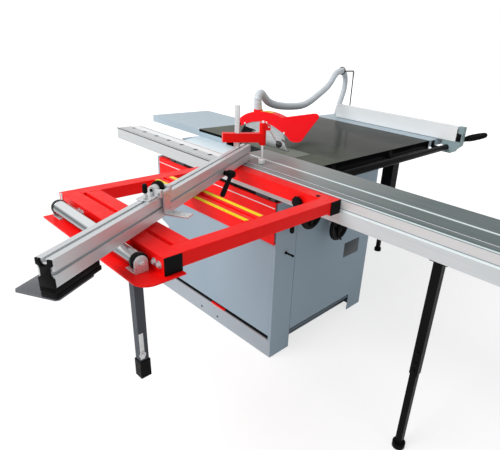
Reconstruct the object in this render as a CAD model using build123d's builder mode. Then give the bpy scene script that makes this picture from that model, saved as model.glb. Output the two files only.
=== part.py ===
"""Combination saw and spindle moulder with a sliding table and an outrigger frame.

Frame: millimetres, +Z up, +X to the operator's right, +Y along the feed.
The origin lies on the floor under the middle of the cabinet.
"""
import math
import os

from build123d import *

os.makedirs("parts", exist_ok=True)

# Heights and clearances
TABLE_H = 870.0          # working height
TABLE_T = 38.0           # depth of the cast table's rim
SHEET = 3.0              # cabinet sheet
RUN = 0.3                # air between pieces that move past each other
FIT = 0.1                # radial air of pins and shafts

# Cabinet
CAB_W = 714.0
CAB_L = 860.0
BASE_H = 86.0            # top of the floor pan
BASE_RAIL = 60.0         # width of the plinth rails
BASE_TAIL = 30.0         # plinth past the back wall
CROSS_W = 60.0           # plinth cross bars
SLOT_H = 27.0            # shadow gap over the plinth
SLOT_IN = 36.0
PANEL_LOW = 100.0        # lower edge of the front panel
STEP_IN = 70.0           # lower back wall set in
STEP_DROP = 475.0        # step in the back wall below the table
STEP_RISE = 24.0
POST_W = 125.0
POST_RETURN = 18.0
FOOT_W = 119.0
SHOULDER_DROP = 112.0    # shoulder below the table
SHOULDER_W = 150.0
TOP_FLANGE = 62.0
CORNER_FLANGE = 140.0
CORNER_L = 97.0
POCKET_X, POCKET_W = 498.0, 128.0
POCKET_DROP, POCKET_H = 516.0, 82.0
POCKET_D = 1.5

# Side carrier and rail
CARRIER_OUT = 14.0
CARRIER_H = 182.0
CARRIER_T = 4.0
CARRIER_L = 824.0
CARRIER_FLANGE = 124.0
PAD_T = 14.0
PAD_L = 110.0
PAD_W = 129.0
PAD_FRONT, PAD_BACK = 10.0, 620.0
RAIL_W = 140.0
RAIL_H = 57.0
RAIL_L = 2140.0
RAIL_FRONT = 900.0       # rail in front of the cabinet
RAIL_WALL = 5.0
RAIL_WEB = 24.0
RAIL_GROOVE = 8.0
RAIL_IN = 2.0            # rail set in from the carriage's side
SCREW_PITCH = 113.0
SCREW_R = 6.5
SCREW_H = 8.0
SCREW_SUNK = 1.0
SCREW_FIRST = 52.0       # first screw from the rail's front end
SCREW_COUNT = int((RAIL_L - SCREW_FIRST) / SCREW_PITCH)

# Carriage
CAR_OUT = 11.0           # carriage past the cabinet's left side
CAR_W = 266.0
CAR_L = 1500.0
CAR_FRONT = 1160.0       # carriage in front of the cabinet
CAR_WALL = 5.0
CAR_CELLS = 4
CAR_SLOT_X = 134.0
CAR_SLOT_W = 10.0
CAR_SLOT_D = 14.0
CAR_SLOT_HEAD = 18.0
CAR_SLOT_HEAD_H = 7.0
CAR_LINE_X = 45.0
CAR_LINE_W = 4.0
CAR_LINE_D = 2.0
CAP_T = 4.0

# Cast table, inserts and plates
TABLE_GAP = 3.0          # carriage to cast table
TABLE_W = 965.0
TABLE_SKIN = 12.0
TABLE_RIB = 20.0
BLADE_IN = 60.0          # blade from the cast table's left edge
BLADE_Y = 400.0          # blade centre from the table's front
NOTCH_W = 110.0
NOTCH_L = 480.0
RABBET = 8.0
INSERT_T = 6.0
INSERT_AIR = 0.5
SLIT_W = 13.0
SLIT_LEFT = 9.5
SLIT_FRONT, SLIT_BACK = 250.0, 615.0
SPIN_X, SPIN_Y = 590.0, 610.0     # moulder spindle from the cabinet's corner
RING_R = 90.0
RING_T = 10.0
RING_BORE = 35.0
BOSS_R = 70.0
BOSS_L = 212.0
CHAMBER_D = 14.0
PLATE_T = 3.0
PLATE_SKIRT = 38.0
OUT_W, OUT_L = 404.0, 455.0
EXT_W = 404.0

# Support legs
LEG_W = 30.0
LEG_WALL = 2.7
LEG_SPLIT = 345.0        # lower end of the outer tubes
LEG_IN = 200.0           # inner tube inside the outer one
FOOT_R = 24.0
FOOT_H = 20.0
LEG_PLATE = 60.0
LEG_PLATE_T = 5.0
RAIL_LEG_X, RAIL_LEG_Y = 10.0, -677.0
EXT_LEG_X, EXT_LEG_Y = 1390.0, 311.0
HEAD_W = 76.0            # wide upper length of the extension's leg
HEAD_DROP = 440.0        # its lower end below the table

# Saw unit
BLADE_R = 157.5
BLADE_T = 3.0
BLADE_DEPTH = 75.0       # blade centre below the table
BLADE_TEETH = 24
TOOTH_D = 6.0
ARBOR_R = 10.0
FLANGE_R = 40.0
FLANGE_T = 6.0
NUT_R, NUT_T = 15.0, 8.0
HOUSING_R = 34.0
HOUSING_X0 = 12.0        # from the blade's plane, to the right
ARM_X, ARM_T = 77.0, 10.0
ARM_HALF = 60.0
COVER_T = 33.0
COVER_R = 36.0
COVER_LOW_R = 55.0
PULLEY_R, PULLEY_T = 25.0, 18.0
PULLEY_AIR = 3.0
MOTOR_R = 68.0
MOTOR_L = 162.0
MOTOR_DROP = 310.0       # motor axis below the table
GUIDE_R0, GUIDE_R1 = 90.0, 102.0
GUIDE_T = 20.0
GUIDE_PLATE = 8.0
GUIDE_HALF = 270.0       # outer guide face from the blade's centre
GUIDE_RIGHT, GUIDE_LEFT = 13.0, 57.0
SHOE_LIP = 5.7
SHOE_HALF = 10.0
FRAME_T = 14.0
FRAME_X0, FRAME_X1 = 12.0, 82.0
FRAME_DROP = 430.0       # lower side below the table
FRAME_BEAM = 45.0
FRAME_BEAM_AIR = 2.0     # lower beam to the rise carriage's arm
GUIDE_ROD_R = 10.0
GUIDE_ROD_X = 57.0
GUIDE_ROD_Y = 210.0
GUIDE_ROD_TOP = 110.0    # below the table
LIFT_H = 50.0
LIFT_TOP = 220.0         # top of the rise carriage below the table
LIFT_X0, LIFT_X1 = 37.0, 77.0
KNIFE_T = 2.5
KNIFE_R0, KNIFE_R1 = 163.0, 215.0
KNIFE_LOW, KNIFE_HIGH = -15.0, 68.0
KNIFE_FOOT_Y0, KNIFE_FOOT_Y1 = 157.0, 200.0
KNIFE_FOOT_Z = 230.0     # below the table

# Blade guard, outline from the blade's centre and the table
GUARD_W = 46.0
GUARD_WALL = 2.5
GUARD_TOP = [(195, 80), (161, 111), (128, 129), (75, 147), (15, 157), (-31, 158), (-69, 154), (-103, 148)]
GUARD_LOW = [(-146, 73), (-119, 84), (-80, 96), (-42, 106), (-11, 110), (52, 105), (93, 95), (130, 80),
             (160, 68), (181, 65)]
GUARD_NOSE = [(-203, 174), (-294, 197), (-310, 199), (-319, 197), (-325, 190), (-325, 184), (-319, 175),
              (-288, 136),
              (-253, 89), (-241, 71), (-230, 63), (-214, 58), (-190, 54), (-168, 57), (-157, 64)]
WINDOW_T = 2.5
WINDOW_BACK, WINDOW_FRONT = (134, 68), (-134, 52)
WINDOW_LAP = 6.0
GUARD_PIN_R = 5.0
GUARD_PIN_Y, GUARD_PIN_Z = 72.0, 114.0
HOSE_R = 19.0
HOSE_BORE = 15.5
HOSE_ROOT = 17.4
HOSE_RIBS = 190
PORT_Y = 69.0
PORT_R = 22.0
PORT_TOP = 158.0         # above the table

# Moulder
QUILL_R = 50.0
QUILL_L = 205.0
QUILL_TOP = 185.0        # below the table
SPINDLE_R = 15.0
SPINDLE_TOP = 8.0        # below the table
SPINDLE_TAIL = 20.0
SPINDLE_NUT_R, SPINDLE_NUT_H = 24.0, 22.0

# Fence bar and rip fence
BAR_R = 16.0
BAR_Y = 60.0             # in front of the table
BAR_DROP = 37.0          # below the table
BAR_X0, BAR_X1 = 300.0, 1500.0
BAR_BRACKETS = [330.0, 800.0, 1270.0, 1470.0]
BAR_BRACKET_W = 30.0
BAR_BRACKET_T = 12.0
BAR_PLATE_T = 6.0
RIP_X = 1330.0
RIP_W = 40.0
RIP_L = 869.0
RIP_H = 84.0
RIP_AIR = 3.0
RIP_FRONT = 105.0
RIP_SLOT = 8.0
RIP_WALL = 4.0
RIP_CAST_T = 32.0
RIP_CAST_IN, RIP_CAST_W = 12.0, 40.0   # casting set in from the fence's left side
RIP_CAST_H = 87.0
RIP_GUIDE_L, RIP_GUIDE_W, RIP_GUIDE_H = 260.0, 20.0, 50.0
RIP_BLOCK_W = 90.0
RIP_BLOCK_WALL = 14.0
RIP_SHOE_T = 22.0
RIP_LEVER_L = 125.0
RIP_LEVER_R = 15.0
RIP_LEVER_RISE = 22.0
RIP_LEVER_Z = 10.0       # pivot above the table
RIP_PIN_R = 5.0

# Hose rod and dust port
ROD_R = 4.0
ROD_IN = 5.0             # from the extension's right end
ROD_TOP = 288.0          # above the table
ROD_LOW = 60.0           # below the table
ROD_RING_AT = 1341.0     # ring along the hose
ROD_RING_AIR = 1.0
ROD_RING_R = 3.0
ROD_BEND = 14.0
DUST_X, DUST_DROP = 420.0, 390.0
DUST_R = 50.0
DUST_WALL = 3.0
DUST_BODY_R, DUST_BODY_L = 54.0, 76.0
DUST_L = 75.0            # free spigot past its body
DUST_FLANGE = 16.0
DUST_FLANGE_T = 4.0
BRANCH_Y = 40.0          # branch behind the back wall
BRANCH_L = 85.0
BRANCH_R = 23.0

# Controls
WHEEL_R = 65.0
RIM_R = 9.0
HUB_R, HUB_T = 16.0, 34.0
SPOKE_R = 6.0
WHEEL_OUT = 60.0         # wheel plane in front of the panel
SHAFT_R = 7.0
SHAFT_IN = 40.0
KNOB_R, KNOB_L = 11.0, 40.0
KNOB_ANGLE = 75.0
TILT_X, TILT_DROP = 140.0, 172.0   # shafts below the table
RISE_X, RISE_DROP = 345.0, 282.0
LOCK_X, LOCK_DROP = 55.0, 184.0
LOCK_L = 48.0
LOCK_R = 10.0
LOCK_OUT = 34.0
SWITCH_X, SWITCH_W = 480.0, 160.0
SWITCH_DROP, SWITCH_H = 270.0, 120.0
SWITCH_D = 30.0
BUTTON_R = 14.0
BUTTON_OUT = 6.0
BUTTON_STEM = 10.0
BUTTON_DX = 40.0

# Outrigger frame
OUT_DROP = 4.0           # below the table
BEAM_W, BEAM_H = 50.0, 48.0
BEAM_WALL = 3.0
BAR_H = 40.0             # cross bars and slot bar
FRAME_OUT = 633.0        # outer beam from the carriage
FRAME_FRONT = 300.0
FRAME_L = 583.0
SLOT_GAP = 12.0
SLOT_BAR = 46.0
SCALE_X = 384.0          # scale beam's left side from the carriage
SCALE_W = 80.0
SCALE_GROOVE, SCALE_GROOVE_D = 12.0, 6.0
PLATE_OUT = 71.0
PLATE_LIP = 18.0
ROLL_PLATE_T = 5.0
ROLL_PLATE_L = 553.0
ROLL_CORNER = 40.0
ROLLER_R = 21.0
ROLLER_L = 460.0
ROLLER_OUT = 30.0        # roller axis from the outer beam
ROLLER_DROP = 2.0        # roller top below the table
ROLLER_FRONT = 55.0      # from the frame's front
RING_PROUD, ROLL_RING_W = 2.0, 12.0
AXLE_R = 6.0
EAR_T, EAR_W = 6.0, 36.0
EAR_FOOT, EAR_FOOT_T = 40.0, 3.0
PROP_IN = 27.0           # prop from the outer beam's left side
PROP_Y = 196.0           # prop from the frame's front
PROP_W, PROP_WALL = 28.0, 2.0
PROP_DROP = 430.0        # lower end of the prop's tube below the table
PROP_FOOT_H, PROP_FOOT_W = 62.0, 34.0
PROP_TOP_AIR = 8.0
KNOB_Y = 140.0           # clamp knob from the frame's front
KNOB_UP = 9.5            # its axis above the beam's lower side
CLAMP_KNOB_R, CLAMP_KNOB_T = 22.0, 20.0
CLAMP_STEM_R = 5.0

# Mitre fence, turned from the X direction about its pivot
FENCE_ANGLE = 28.0
PIVOT_X, PIVOT_Y = 14.0, 231.0
FENCE_L = 1117.0
FENCE_TAIL = 42.0
FENCE_W, FENCE_H = 38.0, 62.0
FENCE_LIFT = 4.0
FENCE_WALL = 4.0
FENCE_SLOT, FENCE_SLOT_D = 8.0, 9.0
PIVOT_R, PIVOT_PIN = 20.0, 6.0
PIVOT_PIN_L = 24.0
END_BLOCK_L, END_BLOCK_H = 135.0, 27.0
END_PLATE_T, END_PLATE_OUT, END_PLATE_L = 4.0, 71.0, 117.0
STOP_X, STOP_L = 658.0, 60.0
STOP_W, STOP_H = 42.0, 24.0
STOP_KEY = 7.0
STOP_KNOB_R, STOP_KNOB_L = 13.0, 24.0
STOP_PIN_R = 4.0
STOP_ARM_W, STOP_ARM_T = 34.0, 4.0
STOP_REACH, STOP_LOW = 68.0, 10.0
LEVER_X = 236.0
LEVER_Z = 13.5           # pivot above the fence's lower side
LEVER_OUT = 28.0
LEVER_L, LEVER_LEAN = 99.0, 56.0
LEVER_R, LEVER_KNOB_R = 9.5, 14.0

# Hold-down clamp on the fence
POST_X, POST_S = 42.0, 20.0
POST_H = 166.0
POST_OFF = 9.0
CLAMP_ANGLE = -30.0
ARM_BACK, ARM_REACH = 58.0, 103.5
ARM_W, ARM_H = 28.0, 35.0
ARM_Z = 25.0             # above the fence
SLEEVE_R, SLEEVE_H = 14.0, 76.0
SLEEVE_DROP = 12.0       # sleeve below the arm
PLUNGER_R = 5.0
PAD_R, PAD_H = 14.0, 20.0
PAD_AIR = 1.0
PLUNGER_TOP = 8.0
CLAMP_LEVER_X, CLAMP_LEVER_Z = 49.0, 73.0
CLAMP_LEVER_R, BALL_R = 4.0, 14.0
CLAMP_PIN_R = 3.0
CLAMP_FORK = 8.0

# Places that follow from the sizes above
CAB_X0, CAB_X1 = -CAB_W / 2, CAB_W / 2
CAB_Y0, CAB_Y1 = -CAB_L / 2, CAB_L / 2
TABLE_Z0 = TABLE_H - TABLE_T
STEP_Z = TABLE_H - STEP_DROP
SHOULDER_Z = TABLE_H - SHOULDER_DROP
POCKET_Z = TABLE_H - POCKET_DROP
FRAME_Z0 = TABLE_H - FRAME_DROP
DUST_Z = TABLE_H - DUST_DROP
TILT_Z = TABLE_H - TILT_DROP
RISE_Z = TABLE_H - RISE_DROP
LOCK_Z = TABLE_H - LOCK_DROP
SWITCH_Z = TABLE_H - SWITCH_DROP
PROP_LOW = TABLE_H - PROP_DROP
RAIL_Z0 = SHOULDER_Z + CARRIER_T + PAD_T
RAIL_Z1 = RAIL_Z0 + RAIL_H
CAR_X0 = CAB_X0 - CAR_OUT
CAR_X1 = CAR_X0 + CAR_W
CAR_Y0 = CAB_Y0 - CAR_FRONT
CAR_Y1 = CAR_Y0 + CAR_L
CAR_Z0 = RAIL_Z1 + RUN
RAIL_X0 = CAR_X0 + RAIL_IN
RAIL_X1 = RAIL_X0 + RAIL_W
RAIL_XM = (RAIL_X0 + RAIL_X1) / 2
RAIL_Y0 = CAB_Y0 - RAIL_FRONT
RAIL_Y1 = RAIL_Y0 + RAIL_L
TABLE_X0 = CAR_X1 + TABLE_GAP
TABLE_X1 = TABLE_X0 + TABLE_W
EXT_X1 = TABLE_X1 + EXT_W
SAW_X = TABLE_X0 + BLADE_IN
SAW_Y = CAB_Y0 + BLADE_Y
SAW_Z = TABLE_H - BLADE_DEPTH
NOTCH_Y0, NOTCH_Y1 = SAW_Y - NOTCH_L / 2, SAW_Y + NOTCH_L / 2
SP_X, SP_Y = CAB_X0 + SPIN_X, CAB_Y0 + SPIN_Y
OUT_Z1 = TABLE_H - OUT_DROP
OUT_Z0 = OUT_Z1 - BEAM_H
BAR_Z0 = OUT_Z1 - BAR_H
OUTER_X1 = CAR_X0 - FRAME_OUT
OUTER_X0 = OUTER_X1 - BEAM_W
FRAME_Y0 = CAB_Y0 - FRAME_FRONT
FRAME_Y1 = FRAME_Y0 + FRAME_L
INNER_X0 = CAR_X0 - BEAM_W


def block(x0, x1, y0, y1, z0, z1, mode=Mode.ADD):
    """A box between two corners."""
    with Locations(((x0 + x1) / 2, (y0 + y1) / 2, (z0 + z1) / 2)):
        Box(x1 - x0, y1 - y0, z1 - z0, mode=mode)


def peg_x(x0, x1, y, z, r, mode=Mode.ADD):
    """A round bar along X."""
    with Locations(Location(((x0 + x1) / 2, y, z), (0, 90, 0))):
        Cylinder(r, x1 - x0, mode=mode)


def peg_y(x, y0, y1, z, r, mode=Mode.ADD):
    """A round bar along Y."""
    with Locations(Location((x, (y0 + y1) / 2, z), (90, 0, 0))):
        Cylinder(r, y1 - y0, mode=mode)


def peg_z(x, y, z0, z1, r, mode=Mode.ADD):
    """A round bar along Z."""
    with Locations((x, y, (z0 + z1) / 2)):
        Cylinder(r, z1 - z0, mode=mode)


def wall_plane(y):
    """A plane facing the operator: X to the right, Z up."""
    return Plane(origin=(0, y, 0), x_dir=(1, 0, 0), z_dir=(0, -1, 0))


def keep(builder, name):
    builder.part.label = name
    export_step(builder.part, f"parts/{name}.step")


# Plinth: two C rails joined by three flat cross bars level with their lower flanges
with BuildPart() as base_frame:
    for side in (-1, 1):
        x_out = side * CAB_W / 2
        x_web = x_out - side * SHEET
        x_in = x_out - side * BASE_RAIL
        top = BASE_H - SHEET
        y0, y1 = CAB_Y0 + SHEET, CAB_Y1 + BASE_TAIL
        block(min(x_out, x_web), max(x_out, x_web), y0, y1, 0, top)
        block(min(x_out, x_in), max(x_out, x_in), y0, y1, 0, SHEET)
        block(min(x_out, x_in), max(x_out, x_in), y0, y1, top - SHEET, top)
    for y in (CAB_Y0 + CROSS_W, -CROSS_W / 2, CAB_Y1 - STEP_IN - CROSS_W):
        block(CAB_X0 + BASE_RAIL, CAB_X1 - BASE_RAIL, y, y + CROSS_W, 0, SHEET)
keep(base_frame, "base_frame")

# Cabinet: floor pan, left and right walls, stepped back, shoulder under the rail and the wall beside it
with BuildPart() as cabinet_body:
    block(CAB_X0 + SLOT_IN, CAB_X1, CAB_Y0 + SHEET, CAB_Y1 - STEP_IN, BASE_H - SHEET, BASE_H)
    x = CAB_X0 + SLOT_IN
    block(x, x + SHEET, CAB_Y0 + SHEET, CAB_Y1 - STEP_IN, BASE_H - SHEET, BASE_H + SLOT_H + SHEET)
    block(CAB_X0, x + SHEET, CAB_Y0 + POST_RETURN, CAB_Y1 - STEP_IN, BASE_H + SLOT_H, BASE_H + SLOT_H + SHEET)
    back = [(CAB_Y1 - STEP_IN, STEP_Z), (CAB_Y1, STEP_Z + STEP_RISE)]
    with BuildSketch(Plane.YZ.offset(CAB_X0)):
        Polygon((CAB_Y0 + POST_RETURN, BASE_H + SLOT_H), (CAB_Y1 - STEP_IN, BASE_H + SLOT_H), *back,
                (CAB_Y1, SHOULDER_Z), (CAB_Y0 + POST_RETURN, SHOULDER_Z), align=None)
    extrude(amount=SHEET)
    with BuildSketch(Plane.YZ.offset(CAB_X1 - SHEET)):
        Polygon((CAB_Y0 + SHEET, BASE_H - SHEET), (CAB_Y1 - STEP_IN, BASE_H - SHEET), *back,
                (CAB_Y1, TABLE_Z0), (CAB_Y0 + SHEET, TABLE_Z0), align=None)
    extrude(amount=SHEET)
    with BuildSketch(Plane.YZ.offset(CAB_X0)):
        inner = [(CAB_Y1 - SHEET, STEP_Z + STEP_RISE + SHEET), (CAB_Y1 - STEP_IN - SHEET, STEP_Z + SHEET)]
        Polygon((CAB_Y1 - STEP_IN, BASE_H + SLOT_H), *back, (CAB_Y1, TABLE_Z0), (CAB_Y1 - SHEET, TABLE_Z0),
                *inner,
                (CAB_Y1 - STEP_IN - SHEET, BASE_H + SLOT_H), align=None)
    extrude(amount=CAB_W)
    block(CAB_X0 + SLOT_IN, CAB_X1, CAB_Y1 - STEP_IN - SHEET, CAB_Y1 - STEP_IN, BASE_H, BASE_H + SLOT_H)
    x = CAB_X0 + SHOULDER_W
    block(CAB_X0, x, CAB_Y1 - SHEET, CAB_Y1, SHOULDER_Z, TABLE_Z0, mode=Mode.SUBTRACT)
    block(CAB_X0, x + SHEET, CAB_Y0 + POST_RETURN, CAB_Y1, SHOULDER_Z - SHEET, SHOULDER_Z)
    block(x, x + SHEET, CAB_Y0 + SHEET, CAB_Y1, SHOULDER_Z - SHEET, TABLE_Z0)
    block(x, x + TOP_FLANGE, CAB_Y0 + SHEET, CAB_Y1, TABLE_Z0 - SHEET, TABLE_Z0)
    for y0, y1 in ((CAB_Y0 + SHEET, CAB_Y0 + CORNER_L), (CAB_Y1 - CORNER_L, CAB_Y1)):
        block(x, x + CORNER_FLANGE, y0, y1, TABLE_Z0 - SHEET, TABLE_Z0)
    peg_y(CAB_X0 + DUST_X, CAB_Y1 - 2 * SHEET, CAB_Y1 + SHEET, DUST_Z, DUST_R - DUST_WALL, mode=Mode.SUBTRACT)
keep(cabinet_body, "cabinet_body")

# Front corner post with a return along the left wall
with BuildPart() as corner_post:
    block(CAB_X0, CAB_X0 + POST_W, CAB_Y0, CAB_Y0 + SHEET, 0, SHOULDER_Z)
    block(CAB_X0, CAB_X0 + SHEET, CAB_Y0, CAB_Y0 + POST_RETURN, BASE_H, SHOULDER_Z)
    peg_y(CAB_X0 + LOCK_X, CAB_Y0 - SHEET, CAB_Y0 + 2 * SHEET, LOCK_Z, SHAFT_R + FIT, mode=Mode.SUBTRACT)
keep(corner_post, "corner_post")

# Front panel with its right foot, a shallow pocket and the two shaft holes
with BuildPart() as front_panel:
    x = CAB_X0 + SHOULDER_W
    block(CAB_X0 + POST_W, CAB_X1, CAB_Y0, CAB_Y0 + SHEET, PANEL_LOW, SHOULDER_Z)
    block(x, CAB_X1, CAB_Y0, CAB_Y0 + SHEET, SHOULDER_Z, TABLE_Z0)
    block(CAB_X1 - FOOT_W, CAB_X1, CAB_Y0, CAB_Y0 + SHEET, 0, PANEL_LOW)
    block(CAB_X0 + POCKET_X, CAB_X0 + POCKET_X + POCKET_W, CAB_Y0, CAB_Y0 + POCKET_D,
          POCKET_Z, POCKET_Z + POCKET_H, mode=Mode.SUBTRACT)
    for wx, wz in ((TILT_X, TILT_Z), (RISE_X, RISE_Z)):
        peg_y(CAB_X0 + wx, CAB_Y0 - SHEET, CAB_Y0 + 2 * SHEET, wz, SHAFT_R + FIT, mode=Mode.SUBTRACT)
keep(front_panel, "front_panel")

# Red C-shaped carrier on the cabinet's left side, its top flange lying on the shoulder
with BuildPart() as side_carrier:
    x0 = CAB_X0 - CARRIER_OUT
    z1 = SHOULDER_Z + CARRIER_T
    z0 = z1 - CARRIER_H
    block(x0, x0 + CARRIER_T, CAB_Y0, CAB_Y0 + CARRIER_L, z0, z1)
    block(x0, x0 + CARRIER_FLANGE, CAB_Y0, CAB_Y0 + CARRIER_L, SHOULDER_Z, z1)
    block(x0, CAB_X0, CAB_Y0, CAB_Y0 + CARRIER_L, z0, z0 + CARRIER_T)
keep(side_carrier, "side_carrier")

# Two pads between carrier and rail
with BuildPart() as rail_brackets:
    for y in (CAB_Y0 + PAD_FRONT, CAB_Y0 + PAD_BACK):
        block(RAIL_X0, RAIL_X0 + PAD_W, y, y + PAD_L, RAIL_Z0 - PAD_T, RAIL_Z0)
keep(rail_brackets, "rail_brackets")

# Fixed rail: a two-chamber extrusion with a solid web under its screws and a groove beside each top edge
with BuildPart() as slide_rail:
    block(RAIL_X0, RAIL_X1, RAIL_Y0, RAIL_Y1, RAIL_Z0, RAIL_Z1)
    for x0, x1 in ((RAIL_X0 + RAIL_WALL, RAIL_XM - RAIL_WEB / 2),
                   (RAIL_XM + RAIL_WEB / 2, RAIL_X1 - RAIL_WALL)):
        block(x0, x1, RAIL_Y0, RAIL_Y1, RAIL_Z0 + RAIL_WALL, RAIL_Z1 - RAIL_GROOVE - RAIL_WALL,
              mode=Mode.SUBTRACT)
    for x in (RAIL_X0 + 2 * RAIL_WALL, RAIL_X1 - 2 * RAIL_WALL - RAIL_GROOVE):
        block(x, x + RAIL_GROOVE, RAIL_Y0, RAIL_Y1, RAIL_Z1 - RAIL_GROOVE, RAIL_Z1, mode=Mode.SUBTRACT)
    with Locations((RAIL_XM, RAIL_Y0 + SCREW_FIRST, RAIL_Z1)):
        with GridLocations(SCREW_PITCH, SCREW_PITCH, 1, SCREW_COUNT, align=(Align.CENTER, Align.MIN)):
            Hole(SCREW_R + FIT, depth=SCREW_H + SCREW_SUNK)
keep(slide_rail, "slide_rail")

# The row of rail screws, heads just under the surface
with BuildPart() as rail_screws:
    with Locations((RAIL_XM, RAIL_Y0 + SCREW_FIRST, RAIL_Z1 - SCREW_SUNK - SCREW_H / 2)):
        with GridLocations(SCREW_PITCH, SCREW_PITCH, 1, SCREW_COUNT, align=(Align.CENTER, Align.MIN)):
            Cylinder(SCREW_R, SCREW_H)
keep(rail_screws, "rail_screws")

# Support legs: one under the rail's front end, one under the extension, each a square tube with a top plate;
# the extension's leg has a wide upper length around its tube
RAIL_LEG = (CAB_X0 + RAIL_LEG_X, CAB_Y0 + RAIL_LEG_Y, RAIL_Z0)
EXT_LEG = (CAB_X0 + EXT_LEG_X, CAB_Y0 + EXT_LEG_Y, TABLE_H - PLATE_T)
LEG_BORE = LEG_W - 2 * LEG_WALL
with BuildPart() as support_legs:
    x, y, z = EXT_LEG
    h, hi = HEAD_W / 2, HEAD_W / 2 - LEG_WALL
    z_head = TABLE_H - HEAD_DROP
    block(x - h, x + h, y - h, y + h, z_head, z)
    block(x - hi, x + hi, y - hi, y + hi, z_head + LEG_PLATE_T, z - LEG_PLATE_T, mode=Mode.SUBTRACT)
    for (x, y, z), aside in ((RAIL_LEG, LEG_W / 2), (EXT_LEG, 0)):
        block(x - LEG_W / 2, x + LEG_W / 2, y - LEG_W / 2, y + LEG_W / 2, LEG_SPLIT, z)
        block(x - LEG_PLATE / 2 + aside, x + LEG_PLATE / 2 + aside, y - LEG_PLATE / 2, y + LEG_PLATE / 2,
              z - LEG_PLATE_T, z)
        block(x - LEG_BORE / 2, x + LEG_BORE / 2, y - LEG_BORE / 2, y + LEG_BORE / 2,
              LEG_SPLIT, z - LEG_PLATE_T, mode=Mode.SUBTRACT)
keep(support_legs, "support_legs")

# Lower tubes with round feet
FOOT_TUBE = LEG_BORE - 2 * FIT
with BuildPart() as leg_feet:
    for x, y, z in (RAIL_LEG, EXT_LEG):
        block(x - FOOT_TUBE / 2, x + FOOT_TUBE / 2, y - FOOT_TUBE / 2, y + FOOT_TUBE / 2, 0,
              LEG_SPLIT + LEG_IN)
        peg_z(x, y, 0, FOOT_H, FOOT_R)
keep(leg_feet, "leg_feet")

# Cast table: ribbed underside, notch for the saw insert, recess for the moulder ring and the quill's boss
with BuildPart() as cast_table:
    block(TABLE_X0, TABLE_X1, CAB_Y0, CAB_Y1, TABLE_Z0, TABLE_H)
    x_near = TABLE_X0 + NOTCH_W + TABLE_RIB
    x_left = SP_X - RING_R - 2 * TABLE_RIB
    x_right = SP_X + RING_R + TABLE_RIB
    x_mid = (x_right + TABLE_X1 - TABLE_RIB) / 2
    for x0, x1 in ((x_near, x_left), (x_right, x_mid - TABLE_RIB / 2),
                   (x_mid + TABLE_RIB / 2, TABLE_X1 - TABLE_RIB)):
        for y0, y1 in ((CAB_Y0 + TABLE_RIB, -TABLE_RIB / 2), (TABLE_RIB / 2, CAB_Y1 - TABLE_RIB)):
            block(x0, x1, y0, y1, TABLE_Z0, TABLE_H - TABLE_SKIN, mode=Mode.SUBTRACT)
    block(TABLE_X0, TABLE_X0 + NOTCH_W, NOTCH_Y0, NOTCH_Y1, TABLE_H - INSERT_T, TABLE_H, mode=Mode.SUBTRACT)
    block(TABLE_X0, TABLE_X0 + NOTCH_W - RABBET, NOTCH_Y0 + RABBET, NOTCH_Y1 - RABBET,
          TABLE_Z0, TABLE_H, mode=Mode.SUBTRACT)
    peg_z(SP_X, SP_Y, TABLE_Z0 - BOSS_L, TABLE_Z0 + CHAMBER_D, BOSS_R)
    peg_z(SP_X, SP_Y, TABLE_H - RING_T, TABLE_H, RING_R, mode=Mode.SUBTRACT)
    peg_z(SP_X, SP_Y, TABLE_Z0 + CHAMBER_D, TABLE_H, RING_R - RABBET, mode=Mode.SUBTRACT)
    peg_z(SP_X, SP_Y, TABLE_Z0 - BOSS_L, TABLE_H, QUILL_R + FIT, mode=Mode.SUBTRACT)
keep(cast_table, "cast_table")

# Drop-in plates: the slotted saw insert and the moulder's ring
with BuildPart() as table_inserts:
    block(TABLE_X0, TABLE_X0 + NOTCH_W - INSERT_AIR, NOTCH_Y0 + INSERT_AIR, NOTCH_Y1 - INSERT_AIR,
          TABLE_H - INSERT_T, TABLE_H)
    block(SAW_X - SLIT_LEFT, SAW_X - SLIT_LEFT + SLIT_W, CAB_Y0 + SLIT_FRONT, CAB_Y0 + SLIT_BACK,
          TABLE_H - INSERT_T, TABLE_H, mode=Mode.SUBTRACT)
    peg_z(SP_X, SP_Y, TABLE_H - RING_T, TABLE_H, RING_R - INSERT_AIR)
    peg_z(SP_X, SP_Y, TABLE_H - RING_T, TABLE_H, RING_BORE, mode=Mode.SUBTRACT)
keep(table_inserts, "table_inserts")

# Folded sheet plates: outfeed behind the saw, extension on the right
with BuildPart() as outfeed_plate:
    x0, x1, y0, y1 = TABLE_X0, TABLE_X0 + OUT_W, CAB_Y1, CAB_Y1 + OUT_L
    block(x0, x1, y0, y1, TABLE_H - PLATE_SKIRT, TABLE_H)
    block(x0 + PLATE_T, x1 - PLATE_T, y0 + PLATE_T, y1 - PLATE_T, TABLE_H - PLATE_SKIRT, TABLE_H - PLATE_T,
          mode=Mode.SUBTRACT)
keep(outfeed_plate, "outfeed_plate")

with BuildPart() as extension_plate:
    x0, x1, y0, y1 = TABLE_X1, EXT_X1, CAB_Y0, CAB_Y1
    block(x0, x1, y0, y1, TABLE_H - PLATE_SKIRT, TABLE_H)
    block(x0 + PLATE_T, x1 - PLATE_T, y0 + PLATE_T, y1 - PLATE_T, TABLE_H - PLATE_SKIRT, TABLE_H - PLATE_T,
          mode=Mode.SUBTRACT)
keep(extension_plate, "extension_plate")

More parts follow.
